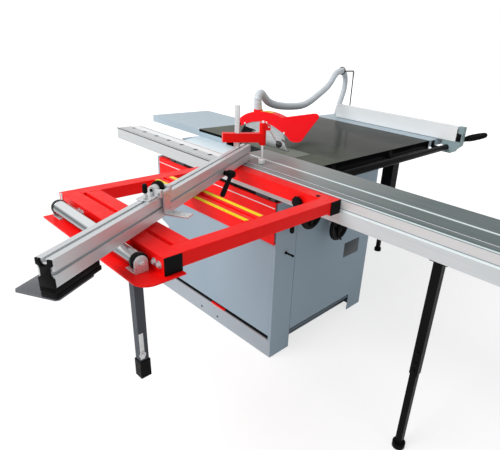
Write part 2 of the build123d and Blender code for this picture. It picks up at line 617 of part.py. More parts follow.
# Round fence bar on angle brackets along the table's front
BAR_YC, BAR_Z = CAB_Y0 - BAR_Y, TABLE_H - BAR_DROP
with BuildPart() as fence_bar:
    peg_x(CAB_X0 + BAR_X0, CAB_X0 + BAR_X1, BAR_YC, BAR_Z, BAR_R)
    for bx in BAR_BRACKETS:
        x0, x1 = CAB_X0 + bx - BAR_BRACKET_W / 2, CAB_X0 + bx + BAR_BRACKET_W / 2
        block(x0, x1, BAR_YC, CAB_Y0, BAR_Z - BAR_BRACKET_T / 2, BAR_Z + BAR_BRACKET_T / 2)
        block(x0, x1, CAB_Y0 - BAR_PLATE_T, CAB_Y0, BAR_Z - BAR_BRACKET_T / 2, TABLE_H - BAR_PLATE_T)
keep(fence_bar, "fence_bar")

# The hose's course: out of the guard, through the rod's ring, down behind the machine to the dust port
PORT_END = (SAW_X, SAW_Y + PORT_Y, TABLE_H + PORT_TOP)
BRANCH_YC = CAB_Y1 + BRANCH_Y
BRANCH_END = (CAB_X0 + DUST_X + BRANCH_L, BRANCH_YC, DUST_Z)
HOSE_ROUTE = [           # heights from the table
    (-39, 39, 174), (-50, 35, 200), (-39, 39, 226), (-14, 47, 232), (12, 56, 210), (60, 73, 180),
    (149, 102, 156),
    (285, 149, 136), (455, 206, 121), (573, 246, 130), (708, 292, 161), (833, 334, 191), (908, 360, 219),
    (965, 379, 257), (1025, 402, 283), (1133, 436, 294), (1198, 454, 248), (1215, 462, 180), (1199, 465, 115),
    (1177, 470, 50), (1161, 475, -25), (1133, 482, -115), (1068, 490, -215), (963, 494, -295),
    (823, 492, -345),
    (663, 486, -373), (503, 479, -385), (363, 473, -389), (243, 470, -390)]
HOSE_POINTS = [PORT_END, *((x, y, TABLE_H + z) for x, y, z in HOSE_ROUTE), BRANCH_END]
hose_runs = [Vector(*b) - Vector(*a) for a, b in zip(HOSE_POINTS, HOSE_POINTS[1:])]
hose_radii = [0.45 * min(a.length, b.length) / math.tan(math.radians(a.get_angle(b) / 2))
              for a, b in zip(hose_runs, hose_runs[1:])]
print("hose radii", [round(r) for r in hose_radii])
with BuildLine() as hose_line:
    FilletPolyline(*HOSE_POINTS, radius=hose_radii)
hose_path = hose_line.wire()

# Thin rod at the extension's rear corner, bent over to a ring that carries the hose
ROD_X, ROD_Y = EXT_X1 - ROD_IN, CAB_Y1 + ROD_R
ROD_Z1 = TABLE_H + ROD_TOP
RING_MAJOR = HOSE_R + ROD_RING_AIR + ROD_RING_R
ring_c = hose_path.position_at(ROD_RING_AT, position_mode=PositionMode.LENGTH)
ring_t = hose_path.tangent_at(ROD_RING_AT, position_mode=PositionMode.LENGTH)
ring_plane = Plane(origin=ring_c, x_dir=ring_t.cross(Vector(0, 0, 1)), z_dir=ring_t)
ring_side = ring_plane.from_local_coords(Vector(RING_MAJOR, 0, 0))
with BuildPart() as hose_rod:
    with BuildLine() as rod_line:
        FilletPolyline((ROD_X, ROD_Y, TABLE_H - ROD_LOW), (ROD_X, ROD_Y, ROD_Z1), ring_side, radius=ROD_BEND)
    with BuildSketch(Plane.XY.offset(TABLE_H - ROD_LOW)):
        with Locations((ROD_X, ROD_Y)):
            Circle(ROD_R)
    sweep(path=rod_line.line)
    with Locations(ring_plane.location):
        Torus(RING_MAJOR, ROD_RING_R)
keep(hose_rod, "hose_rod")

# Dust port on the upper back wall: a flanged spigot with a side branch for the hose
with BuildPart() as dust_port:
    x = CAB_X0 + DUST_X
    y_end = CAB_Y1 + DUST_BODY_L + DUST_L
    peg_y(x, CAB_Y1, CAB_Y1 + DUST_BODY_L, DUST_Z, DUST_BODY_R)
    peg_y(x, CAB_Y1, y_end, DUST_Z, DUST_R)
    peg_y(x, CAB_Y1, CAB_Y1 + DUST_FLANGE_T, DUST_Z, DUST_BODY_R + DUST_FLANGE)
    peg_x(x, x + BRANCH_L, BRANCH_YC, DUST_Z, BRANCH_R)
    peg_y(x, CAB_Y1, y_end, DUST_Z, DUST_R - DUST_WALL, mode=Mode.SUBTRACT)
    peg_x(x, x + BRANCH_L, BRANCH_YC, DUST_Z, HOSE_BORE, mode=Mode.SUBTRACT)
keep(dust_port, "dust_port")


def ring_sector(y, cx, cz, r0, r1, right, left):
    """An annular sector hanging under a point, angles from straight down."""
    far = 3 * r1
    a0, a1 = math.radians(-right), math.radians(left)
    am = (a0 + a1) / 2
    with BuildSketch(wall_plane(y)) as sketch:
        with Locations((cx, cz)):
            Circle(r1)
            Circle(r0, mode=Mode.SUBTRACT)
        wedge = [(cx, cz)] + [(cx - far * math.sin(a), cz - far * math.cos(a)) for a in (a0, am, a1)]
        Polygon(*wedge, align=None, mode=Mode.INTERSECT)
    return sketch.sketch


# Curved guides under the table that the saw frame tilts on
with BuildPart() as trunnion_guides:
    for side in (-1, 1):
        y_plate = SAW_Y + side * (GUIDE_HALF + GUIDE_PLATE)
        y_face = SAW_Y + side * GUIDE_HALF
        extrude(ring_sector(y_face, SAW_X, TABLE_H, GUIDE_R0, GUIDE_R1, GUIDE_RIGHT, GUIDE_LEFT),
                amount=side * GUIDE_T)
        block(SAW_X - GUIDE_R1 * math.sin(math.radians(GUIDE_LEFT)), SAW_X + BLADE_IN / 2,
              min(y_face, y_plate), max(y_face, y_plate), TABLE_H - GUIDE_R1, TABLE_Z0)
keep(trunnion_guides, "trunnion_guides")

# Switch box on the front panel, with its two push buttons
SWITCH_Y0 = CAB_Y0 - SWITCH_D
SWITCH_XC, SWITCH_ZC = CAB_X0 + SWITCH_X + SWITCH_W / 2, SWITCH_Z + SWITCH_H / 2
with BuildPart() as switch_box:
    block(SWITCH_XC - SWITCH_W / 2, SWITCH_XC + SWITCH_W / 2, SWITCH_Y0, CAB_Y0, SWITCH_Z,
          SWITCH_Z + SWITCH_H)
    for side in (-1, 1):
        peg_y(SWITCH_XC + side * BUTTON_DX, SWITCH_Y0, SWITCH_Y0 + BUTTON_STEM + BUTTON_OUT, SWITCH_ZC,
              BUTTON_R + RUN, mode=Mode.SUBTRACT)
keep(switch_box, "switch_box")

with BuildPart() as start_button:
    peg_y(SWITCH_XC - BUTTON_DX, SWITCH_Y0 - BUTTON_OUT, SWITCH_Y0 + BUTTON_STEM, SWITCH_ZC, BUTTON_R)
keep(start_button, "start_button")

with BuildPart() as stop_button:
    peg_y(SWITCH_XC + BUTTON_DX, SWITCH_Y0 - BUTTON_OUT, SWITCH_Y0 + BUTTON_STEM, SWITCH_ZC, BUTTON_R)
keep(stop_button, "stop_button")

# Two handwheels: round rim, three spokes, hub, shaft through the panel and a knob
WHEEL_Y = CAB_Y0 - WHEEL_OUT
RIM_MID = WHEEL_R - RIM_R
for name, wx, wz in (("tilt_wheel", CAB_X0 + TILT_X, TILT_Z), ("rise_wheel", CAB_X0 + RISE_X, RISE_Z)):
    with BuildPart() as wheel:
        peg_y(wx, WHEEL_Y - HUB_T / 2, WHEEL_Y + HUB_T / 2, wz, HUB_R)
        with Locations(Location((wx, WHEEL_Y, wz), (90, 0, 0))):
            with PolarLocations((HUB_R + RIM_MID) / 2, 3, start_angle=30):
                Box(RIM_MID - HUB_R + SPOKE_R, 2 * SPOKE_R, 1.4 * SPOKE_R)
        with BuildSketch(Plane.XY.offset(wz)):
            with Locations((wx + RIM_MID, WHEEL_Y)):
                RegularPolygon(RIM_R, 12)
        revolve(axis=Axis((wx, WHEEL_Y, wz), (0, 1, 0)))
        peg_y(wx, WHEEL_Y, CAB_Y0 + SHAFT_IN, wz, SHAFT_R)
        knob_at = math.radians(KNOB_ANGLE)
        peg_y(wx + RIM_MID * math.cos(knob_at), WHEEL_Y - KNOB_L, WHEEL_Y,
              wz + RIM_MID * math.sin(knob_at), KNOB_R)
    keep(wheel, name)

# Tilt lock on the corner post: a shaft with a short hanging lever
with BuildPart() as lock_lever:
    x = CAB_X0 + LOCK_X
    peg_y(x, CAB_Y0 - LOCK_OUT, CAB_Y0 + SHAFT_IN / 2, LOCK_Z, SHAFT_R)
    peg_z(x, CAB_Y0 - LOCK_OUT, LOCK_Z - LOCK_L, LOCK_Z, LOCK_R)
    for z in (LOCK_Z - LOCK_L, LOCK_Z):
        with Locations((x, CAB_Y0 - LOCK_OUT, z)):
            Sphere(LOCK_R)
keep(lock_lever, "lock_lever")

# Tilting saw frame: grooved shoes on the guides, end plates, lower beam and two guide rods
ROD_XC = SAW_X + GUIDE_ROD_X
with BuildPart() as saw_frame:
    for side in (-1, 1):
        y_rail = SAW_Y + side * GUIDE_HALF
        y_lip = y_rail - side * RUN
        y_back = y_rail - side * (GUIDE_T + RUN)
        y_plate = y_back - side * FRAME_T
        for r0 in (GUIDE_R1 + RUN, GUIDE_R0 - RUN - SHOE_LIP):
            extrude(ring_sector(y_lip, SAW_X, TABLE_H, r0, r0 + SHOE_LIP, SHOE_HALF, SHOE_HALF),
                    amount=side * abs(y_lip - y_plate))
        z_shoe = TABLE_H - GUIDE_R1 - SHOE_LIP
        z_top = TABLE_H - GUIDE_R0 + SHOE_LIP
        with BuildSketch(wall_plane(y_back)):
            Polygon((SAW_X - FRAME_X0, z_shoe), (SAW_X - FRAME_X0, z_top), (SAW_X + FRAME_X0, z_top),
                    (SAW_X + FRAME_X1, z_shoe - BLADE_IN), (SAW_X + FRAME_X1, FRAME_Z0),
                    (SAW_X + FRAME_X0, FRAME_Z0), (SAW_X + FRAME_X0, z_shoe - BLADE_IN), align=None)
        extrude(amount=side * FRAME_T)
        y_rod = SAW_Y + side * GUIDE_ROD_Y
        z_rod = TABLE_H - GUIDE_ROD_TOP
        peg_z(ROD_XC, y_rod, FRAME_Z0, z_rod, GUIDE_ROD_R)
        block(ROD_XC - GUIDE_ROD_R, ROD_XC + GUIDE_ROD_R, min(y_back, y_rod), max(y_back, y_rod),
              z_rod - GUIDE_ROD_R * 2, z_rod)
    y_end = GUIDE_HALF - GUIDE_T - RUN
    block(ROD_XC - FRAME_BEAM / 2, SAW_X + ARM_X - FRAME_BEAM_AIR, SAW_Y - y_end, SAW_Y + y_end,
          FRAME_Z0, FRAME_Z0 + FRAME_BEAM)
keep(saw_frame, "saw_frame")

# Rise carriage on the rods: beam, upright arm, arbor housing and the riving knife's bracket
LIFT_Z1 = TABLE_H - LIFT_TOP
ARM_X0 = SAW_X + ARM_X
ARM_X1 = ARM_X0 + ARM_T
MOTOR_Z = TABLE_H - MOTOR_DROP
KNIFE_X0, KNIFE_X1 = SAW_X - KNIFE_T / 2, SAW_X + KNIFE_T / 2
with BuildPart() as saw_carriage:
    half = GUIDE_ROD_Y + 2 * GUIDE_ROD_R
    block(SAW_X + LIFT_X0, SAW_X + LIFT_X1, SAW_Y - half, SAW_Y + half, LIFT_Z1 - LIFT_H, LIFT_Z1)
    block(ARM_X0, ARM_X1, SAW_Y - ARM_HALF, SAW_Y + ARM_HALF, MOTOR_Z - ARM_HALF, SAW_Z)
    peg_x(SAW_X + HOUSING_X0, ARM_X1, SAW_Y, SAW_Z, HOUSING_R)
    block(KNIFE_X1, SAW_X + LIFT_X0 + SHEET, SAW_Y + KNIFE_FOOT_Y0, SAW_Y + KNIFE_FOOT_Y1,
          LIFT_Z1 - LIFT_H, TABLE_H - GUIDE_R1)
    for side in (-1, 1):
        peg_z(ROD_XC, SAW_Y + side * GUIDE_ROD_Y, LIFT_Z1 - LIFT_H, LIFT_Z1, GUIDE_ROD_R + FIT,
              mode=Mode.SUBTRACT)
    peg_x(SAW_X, ARM_X1, SAW_Y, SAW_Z, ARBOR_R + FIT, mode=Mode.SUBTRACT)
keep(saw_carriage, "saw_carriage")

# Belt cover on the arm, hollow around the arbor pulley
COVER_X0, COVER_X1 = ARM_X1, ARM_X1 + COVER_T
with BuildPart() as belt_cover:
    with BuildSketch(Plane.YZ.offset(COVER_X0)):
        with Locations((SAW_Y, SAW_Z)):
            Circle(COVER_R)
        with Locations((SAW_Y, MOTOR_Z)):
            Circle(COVER_LOW_R)
        Polygon((SAW_Y - COVER_R, SAW_Z), (SAW_Y + COVER_R, SAW_Z), (SAW_Y + COVER_LOW_R, MOTOR_Z),
                (SAW_Y - COVER_LOW_R, MOTOR_Z), align=None)
    extrude(amount=COVER_T)
    peg_x(COVER_X0, COVER_X0 + PULLEY_T + 2 * PULLEY_AIR, SAW_Y, SAW_Z, PULLEY_R + PULLEY_AIR,
          mode=Mode.SUBTRACT)
keep(belt_cover, "belt_cover")

# Motor flanged to the belt cover
with BuildPart() as saw_motor:
    peg_x(COVER_X1, COVER_X1 + MOTOR_L, SAW_Y, MOTOR_Z, MOTOR_R)
    peg_x(COVER_X1, COVER_X1 + LEG_PLATE_T, SAW_Y, MOTOR_Z, MOTOR_R + LEG_PLATE_T)
keep(saw_motor, "saw_motor")

# Arbor with pulley, inner flange, outer flange and nut; the blade is clamped between the flanges
with BuildPart() as saw_arbor:
    x_l = SAW_X - BLADE_T / 2
    x_r = SAW_X + BLADE_T / 2
    peg_x(x_l - FLANGE_T - NUT_T, COVER_X0 + PULLEY_T + PULLEY_AIR, SAW_Y, SAW_Z, ARBOR_R)
    peg_x(x_r, x_r + FLANGE_T, SAW_Y, SAW_Z, FLANGE_R)
    peg_x(x_l - FLANGE_T, x_l, SAW_Y, SAW_Z, FLANGE_R)
    peg_x(x_l - FLANGE_T - NUT_T, x_l - FLANGE_T, SAW_Y, SAW_Z, NUT_R)
    peg_x(COVER_X0 + PULLEY_AIR, COVER_X0 + PULLEY_AIR + PULLEY_T, SAW_Y, SAW_Z, PULLEY_R)
keep(saw_arbor, "saw_arbor")

with BuildPart() as saw_blade:
    with BuildSketch(Plane.YZ.offset(SAW_X - BLADE_T / 2)):
        teeth = []
        for i in range(BLADE_TEETH):
            a = 2 * math.pi * i / BLADE_TEETH
            b = a + 2 * math.pi * 0.55 / BLADE_TEETH
            teeth.append((SAW_Y + BLADE_R * math.cos(a), SAW_Z + BLADE_R * math.sin(a)))
            teeth.append((SAW_Y + (BLADE_R - TOOTH_D) * math.cos(b),
                          SAW_Z + (BLADE_R - TOOTH_D) * math.sin(b)))
            teeth.append((SAW_Y + (BLADE_R - TOOTH_D) * math.cos(a + 2 * math.pi / BLADE_TEETH),
                          SAW_Z + (BLADE_R - TOOTH_D) * math.sin(a + 2 * math.pi / BLADE_TEETH)))
        Polygon(*teeth, align=None)
        with Locations((SAW_Y, SAW_Z)):
            Circle(ARBOR_R + FIT, mode=Mode.SUBTRACT)
    extrude(amount=BLADE_T)
keep(saw_blade, "saw_blade")

# Riving knife: a curved plate close behind the blade with a straight foot
with BuildPart() as riving_knife:
    with BuildSketch(Plane.YZ.offset(KNIFE_X0)):
        with Locations((SAW_Y, SAW_Z)):
            Circle(KNIFE_R1)
            Circle(KNIFE_R0, mode=Mode.SUBTRACT)
        far = 3 * KNIFE_R1
        angles = [math.radians(a) for a in (KNIFE_LOW, (KNIFE_LOW + KNIFE_HIGH) / 2, KNIFE_HIGH)]
        Polygon((SAW_Y, SAW_Z), *[(SAW_Y + far * math.cos(a), SAW_Z + far * math.sin(a)) for a in angles],
                align=None, mode=Mode.INTERSECT)
    extrude(amount=KNIFE_T)
    low = math.radians(KNIFE_LOW)
    z_foot = SAW_Z + KNIFE_R0 * math.sin(low)
    block(KNIFE_X0, KNIFE_X1, SAW_Y + KNIFE_R0 * math.cos(low), SAW_Y + KNIFE_FOOT_Y1,
          TABLE_H - KNIFE_FOOT_Z, z_foot)
keep(riving_knife, "riving_knife")

# Blade guard: a thin arched shell open below with a flat nose in front of its left side, two bosses beside the
# knife and the hose collar on top
GUARD_X0 = SAW_X - GUARD_W / 2


def at_saw(points):
    """Guard points in the machine's YZ plane."""
    return [(SAW_Y + y, TABLE_H + z) for y, z in points]


def inset(points, d):
    """An open curve drawn from back to front, moved to its inside and shortened at both ends."""
    moved = []
    for i, (y, z) in enumerate(points):
        (ya, za), (yb, zb) = points[max(i - 1, 0)], points[min(i + 1, len(points) - 1)]
        run = math.hypot(yb - ya, zb - za)
        ty, tz = (yb - ya) / run, (zb - za) / run
        trim = d * ((i == 0) - (i == len(points) - 1))
        moved.append((y - d * tz + trim * ty, z + d * ty + trim * tz))
    return moved


with BuildPart() as guard_body:
    w = GUARD_WALL
    with BuildSketch(Plane.YZ.offset(GUARD_X0)):
        with BuildLine():
            Spline(*at_saw(GUARD_TOP))
            Spline(*at_saw(GUARD_LOW))
            Line(*at_saw([GUARD_TOP[-1], GUARD_LOW[0]]))
            Line(*at_saw([GUARD_LOW[-1], GUARD_TOP[0]]))
        make_face()
    extrude(amount=GUARD_W)
    peg_z(SAW_X, SAW_Y + PORT_Y, TABLE_H + GUARD_PIN_Z, TABLE_H + PORT_TOP, PORT_R)
    inner = inset(GUARD_TOP, w)
    y_back, y_front, z_open = GUARD_LOW[-1][0] - w, GUARD_LOW[0][0] + 3 * w, WINDOW_FRONT[1]
    with BuildSketch(Plane.YZ.offset(GUARD_X0 + w)):
        with BuildLine():
            Spline(*at_saw(inner))
            Polyline(*at_saw([inner[-1], (y_front, GUARD_LOW[0][1]), (y_front, z_open), (y_back, z_open),
                              (y_back, GUARD_LOW[-1][1]), inner[0]]))
        make_face()
    extrude(amount=GUARD_W - 2 * w, mode=Mode.SUBTRACT)
    with BuildSketch(Plane.YZ.offset(GUARD_X0)):
        Polygon(*at_saw([GUARD_TOP[-2], GUARD_TOP[-1], *GUARD_NOSE, *GUARD_LOW[:3]]), align=None)
    extrude(amount=w)
    for xa, xb in ((GUARD_X0 + w, KNIFE_X0 - RUN), (KNIFE_X1 + RUN, GUARD_X0 + GUARD_W - w)):
        peg_x(xa, xb, SAW_Y + GUARD_PIN_Y, TABLE_H + GUARD_PIN_Z, GUARD_PIN_R)
    peg_z(SAW_X, SAW_Y + PORT_Y, TABLE_H + PORT_TOP - PORT_R, TABLE_H + PORT_TOP, HOSE_BORE,
          mode=Mode.SUBTRACT)
keep(guard_body, "guard_body")

# Clear side plates of the guard
with BuildPart() as guard_windows:
    upper = [(y, z + WINDOW_LAP) for y, z in GUARD_LOW if WINDOW_FRONT[0] <= y <= WINDOW_BACK[0]]
    for x in (GUARD_X0 + GUARD_WALL, GUARD_X0 + GUARD_W - GUARD_WALL - WINDOW_T):
        with BuildSketch(Plane.YZ.offset(x)):
            Polygon(*at_saw([WINDOW_FRONT, *upper, WINDOW_BACK]), align=None)
        extrude(amount=WINDOW_T)
keep(guard_windows, "guard_windows")

# Moulder: quill sliding in the table's boss, spindle running in the quill
QUILL_Z1 = TABLE_H - QUILL_TOP
with BuildPart() as spindle_quill:
    peg_z(SP_X, SP_Y, QUILL_Z1 - QUILL_L, QUILL_Z1, QUILL_R)
    peg_z(SP_X, SP_Y, QUILL_Z1 - QUILL_L, QUILL_Z1, SPINDLE_R + FIT, mode=Mode.SUBTRACT)
keep(spindle_quill, "spindle_quill")

with BuildPart() as spindle_shaft:
    peg_z(SP_X, SP_Y, QUILL_Z1 - QUILL_L - SPINDLE_TAIL, TABLE_H - SPINDLE_TOP, SPINDLE_R)
    peg_z(SP_X, SP_Y, QUILL_Z1 + RUN, QUILL_Z1 + RUN + SPINDLE_NUT_H, SPINDLE_NUT_R)
    peg_z(SP_X, SP_Y, TABLE_H - SPINDLE_TOP - SPINDLE_NUT_H, TABLE_H - SPINDLE_TOP, SPINDLE_NUT_R)
keep(spindle_shaft, "spindle_shaft")

# Sliding carriage: a wide hollow extrusion with a top T-slot and a fine line beside it
FENCE_PX, FENCE_PY = CAB_X0 + PIVOT_X, CAB_Y0 + PIVOT_Y
CAR_SLOT_XC = CAR_X0 + CAR_SLOT_X
with BuildPart() as carriage:
    block(CAR_X0, CAR_X1, CAR_Y0, CAR_Y1, CAR_Z0, TABLE_H)
    cell = (CAR_W - CAR_WALL) / CAR_CELLS
    z_cell = TABLE_H - CAR_SLOT_D - CAR_SLOT_HEAD_H - CAR_WALL / 2
    for i in range(CAR_CELLS):
        x = CAR_X0 + CAR_WALL + i * cell
        block(x, x + cell - CAR_WALL, CAR_Y0, CAR_Y1, CAR_Z0 + CAR_WALL, z_cell, mode=Mode.SUBTRACT)
    block(CAR_SLOT_XC - CAR_SLOT_W / 2, CAR_SLOT_XC + CAR_SLOT_W / 2, CAR_Y0, CAR_Y1,
          TABLE_H - CAR_SLOT_D, TABLE_H, mode=Mode.SUBTRACT)
    block(CAR_SLOT_XC - CAR_SLOT_HEAD / 2, CAR_SLOT_XC + CAR_SLOT_HEAD / 2, CAR_Y0, CAR_Y1,
          TABLE_H - CAR_SLOT_D - CAR_SLOT_HEAD_H / 2, TABLE_H - CAR_SLOT_D + CAR_SLOT_HEAD_H / 2,
          mode=Mode.SUBTRACT)
    block(CAR_X0 + CAR_LINE_X, CAR_X0 + CAR_LINE_X + CAR_LINE_W, CAR_Y0, CAR_Y1,
          TABLE_H - CAR_LINE_D, TABLE_H, mode=Mode.SUBTRACT)
    peg_z(FENCE_PX, FENCE_PY, CAR_Z0, TABLE_H, PIVOT_PIN + FIT, mode=Mode.SUBTRACT)
keep(carriage, "carriage")

# Black plastic caps on the carriage's ends and the two beams' front ends
with BuildPart() as end_caps:
    block(CAR_X0, CAR_X1, CAR_Y0 - CAP_T, CAR_Y0, CAR_Z0, TABLE_H)
    block(CAR_X0, CAR_X1, CAR_Y1, CAR_Y1 + CAP_T, CAR_Z0, TABLE_H)
    block(OUTER_X0, OUTER_X1, FRAME_Y0 - CAP_T, FRAME_Y0, OUT_Z0, OUT_Z1)
    block(INNER_X0, CAR_X0, FRAME_Y0 - CAP_T, FRAME_Y0, OUT_Z0, OUT_Z1)
keep(end_caps, "end_caps")

# Outrigger: outer tube with the slot bar beside it
SLOT_X0 = OUTER_X1 + SLOT_GAP
FRONT_Y1, BACK_Y0 = FRAME_Y0 + BEAM_W, FRAME_Y1 - BEAM_W
with BuildPart() as outer_beam:
    block(OUTER_X0, OUTER_X1, FRAME_Y0, FRAME_Y1, OUT_Z0, OUT_Z1)
    block(OUTER_X0 + BEAM_WALL, OUTER_X1 - BEAM_WALL, FRAME_Y0, FRAME_Y1, OUT_Z0 + BEAM_WALL,
          OUT_Z1 - BEAM_WALL,
          mode=Mode.SUBTRACT)
    block(SLOT_X0, SLOT_X0 + SLOT_BAR, FRONT_Y1, BACK_Y0, BAR_Z0, OUT_Z1)
    block(SLOT_X0 + BEAM_WALL, SLOT_X0 + SLOT_BAR - BEAM_WALL, FRONT_Y1, BACK_Y0, BAR_Z0 + BEAM_WALL,
          OUT_Z1 - BEAM_WALL, mode=Mode.SUBTRACT)
keep(outer_beam, "outer_beam")

with BuildPart() as inner_beam:
    block(INNER_X0, CAR_X0, FRAME_Y0, FRAME_Y1, OUT_Z0, OUT_Z1)
    block(INNER_X0 + BEAM_WALL, CAR_X0 - BEAM_WALL, FRAME_Y0, FRAME_Y1, OUT_Z0 + BEAM_WALL,
          OUT_Z1 - BEAM_WALL,
          mode=Mode.SUBTRACT)
    peg_x(INNER_X0, INNER_X0 + BEAM_WALL, FRAME_Y0 + KNOB_Y, OUT_Z0 + KNOB_UP, CLAMP_STEM_R + FIT,
          mode=Mode.SUBTRACT)
keep(inner_beam, "inner_beam")

# Clamp knob that locks the frame to the carriage
with BuildPart() as clamp_knob:
    z = OUT_Z0 + KNOB_UP
    peg_x(INNER_X0 - RUN - CLAMP_KNOB_T, INNER_X0 - RUN, FRAME_Y0 + KNOB_Y, z, CLAMP_KNOB_R)
    peg_x(INNER_X0 - CLAMP_KNOB_T, CAR_X0 - 2 * BEAM_WALL, FRAME_Y0 + KNOB_Y, z, CLAMP_STEM_R)
keep(clamp_knob, "clamp_knob")

# Front and back bars between the beams
with BuildPart() as cross_bars:
    for y in (FRAME_Y0, BACK_Y0):
        block(OUTER_X1, INNER_X0, y, y + BEAM_W, BAR_Z0, OUT_Z1)
        block(OUTER_X1, INNER_X0, y + BEAM_WALL, y + BEAM_W - BEAM_WALL, BAR_Z0 + BEAM_WALL,
              OUT_Z1 - BEAM_WALL,
              mode=Mode.SUBTRACT)
keep(cross_bars, "cross_bars")

# Scale beam: an inverted channel with a groove along the middle
SCALE_X0 = CAR_X0 - SCALE_X
with BuildPart() as scale_beam:
    block(SCALE_X0, SCALE_X0 + SCALE_W, FRONT_Y1, BACK_Y0, BAR_Z0, OUT_Z1)
    xm = SCALE_X0 + SCALE_W / 2
    block(SCALE_X0 + BEAM_WALL, SCALE_X0 + SCALE_W - BEAM_WALL, FRONT_Y1, BACK_Y0, BAR_Z0,
          OUT_Z1 - SCALE_GROOVE_D - BEAM_WALL, mode=Mode.SUBTRACT)
    block(xm - SCALE_GROOVE / 2, xm + SCALE_GROOVE / 2, FRONT_Y1, BACK_Y0, OUT_Z1 - SCALE_GROOVE_D, OUT_Z1,
          mode=Mode.SUBTRACT)
keep(scale_beam, "scale_beam")

# Plate under the outer beam that carries roller and prop
PLATE_Y0 = FRAME_Y0 - PLATE_LIP
with BuildPart() as roller_plate:
    block(OUTER_X0 - PLATE_OUT, OUTER_X1, PLATE_Y0, PLATE_Y0 + ROLL_PLATE_L, OUT_Z0 - ROLL_PLATE_T, OUT_Z0)
    corner = roller_plate.edges().filter_by(Axis.Z).group_by(Axis.X)[0].sort_by(Axis.Y)[0]
    fillet(corner, ROLL_CORNER)
keep(roller_plate, "roller_plate")

# Support roller between two rounded ears
ROLL_X = OUTER_X0 - ROLLER_OUT
ROLL_Z = TABLE_H - ROLLER_DROP - ROLLER_R - RING_PROUD
ROLL_Y0 = FRAME_Y0 + ROLLER_FRONT
ROLL_Y1 = ROLL_Y0 + ROLLER_L
with BuildPart() as roller_brackets:
    for y0, y1, foot in ((ROLL_Y0 - EAR_T - 2 * RUN, ROLL_Y0 - 2 * RUN, 1),
                         (ROLL_Y1 + 2 * RUN, ROLL_Y1 + EAR_T + 2 * RUN, -1)):
        block(ROLL_X - EAR_W / 2, ROLL_X + EAR_W / 2, y0, y1, OUT_Z0, ROLL_Z)
        peg_y(ROLL_X, y0, y1, ROLL_Z, EAR_W / 2)
        y_foot = y0 - EAR_FOOT if foot < 0 else y1 + EAR_FOOT
        block(ROLL_X - EAR_W / 2, ROLL_X + EAR_W / 2, min(y0, y_foot), max(y1, y_foot),
              OUT_Z0, OUT_Z0 + EAR_FOOT_T)
        peg_y(ROLL_X, y0, y1, ROLL_Z, AXLE_R + FIT, mode=Mode.SUBTRACT)
keep(roller_brackets, "roller_brackets")

with BuildPart() as support_roller:
    peg_y(ROLL_X, ROLL_Y0, ROLL_Y1, ROLL_Z, ROLLER_R)
    peg_y(ROLL_X, ROLL_Y0, ROLL_Y0 + ROLL_RING_W, ROLL_Z, ROLLER_R + RING_PROUD)
    peg_y(ROLL_X, ROLL_Y1 - ROLL_RING_W, ROLL_Y1, ROLL_Z, ROLLER_R + RING_PROUD)
    peg_y(ROLL_X, ROLL_Y0 - 2 * EAR_T, ROLL_Y1 + 2 * EAR_T, ROLL_Z, AXLE_R)
keep(support_roller, "support_roller")

# Telescopic prop under the plate: square tube, inner tube with a wider foot
PROP_X, PROP_YC = OUTER_X0 + PROP_IN, FRAME_Y0 + PROP_Y
PROP_Z1 = OUT_Z0 - ROLL_PLATE_T
PROP_BORE = PROP_W - 2 * PROP_WALL
with BuildPart() as prop_leg:
    h = PROP_W / 2
    block(PROP_X - h, PROP_X + h, PROP_YC - h, PROP_YC + h, PROP_LOW, PROP_Z1)
    b = PROP_BORE / 2
    block(PROP_X - b, PROP_X + b, PROP_YC - b, PROP_YC + b, PROP_LOW, PROP_Z1, mode=Mode.SUBTRACT)
keep(prop_leg, "prop_leg")

with BuildPart() as prop_foot:
    b = PROP_BORE / 2 - FIT
    f = PROP_FOOT_W / 2
    z = PROP_LOW - RUN
    block(PROP_X - b, PROP_X + b, PROP_YC - b, PROP_YC + b, z - PROP_FOOT_H, PROP_Z1 - PROP_TOP_AIR)
    block(PROP_X - f, PROP_X + f, PROP_YC - f, PROP_YC + f, z - PROP_FOOT_H, z)
keep(prop_foot, "prop_foot")

# Mitre fence in its own frame: x along the fence, y to its back, origin at the pivot on the carriage
turn = math.radians(FENCE_ANGLE)
fence_plane = Plane(origin=(FENCE_PX, FENCE_PY, TABLE_H), x_dir=(math.cos(turn), math.sin(turn), 0),
                    z_dir=(0, 0, 1))
F_X0, F_X1 = FENCE_TAIL - FENCE_L, FENCE_TAIL
F_Z0, F_Z1 = FENCE_LIFT, FENCE_LIFT + FENCE_H
F_HALF = FENCE_W / 2
with BuildPart(fence_plane) as crosscut_fence:
    block(F_X0, F_X1, -F_HALF, F_HALF, F_Z0, F_Z1)
    s = FENCE_SLOT / 2
    block(F_X0, F_X1, -s, s, F_Z1 - FENCE_SLOT_D, F_Z1, mode=Mode.SUBTRACT)
    zm = (F_Z0 + F_Z1) / 2
    block(F_X0, F_X1, -F_HALF, FENCE_SLOT_D - F_HALF, zm - s, zm + s, mode=Mode.SUBTRACT)
    block(F_X0, F_X1, FENCE_SLOT_D + FENCE_WALL - F_HALF, F_HALF - FENCE_WALL, F_Z0 + FENCE_WALL,
          F_Z1 - FENCE_SLOT_D - FENCE_WALL, mode=Mode.SUBTRACT)
    peg_z(0, 0, RUN, F_Z0, PIVOT_R)
    peg_z(0, 0, -PIVOT_PIN_L, F_Z0 + FENCE_WALL, PIVOT_PIN)
keep(crosscut_fence, "crosscut_fence")

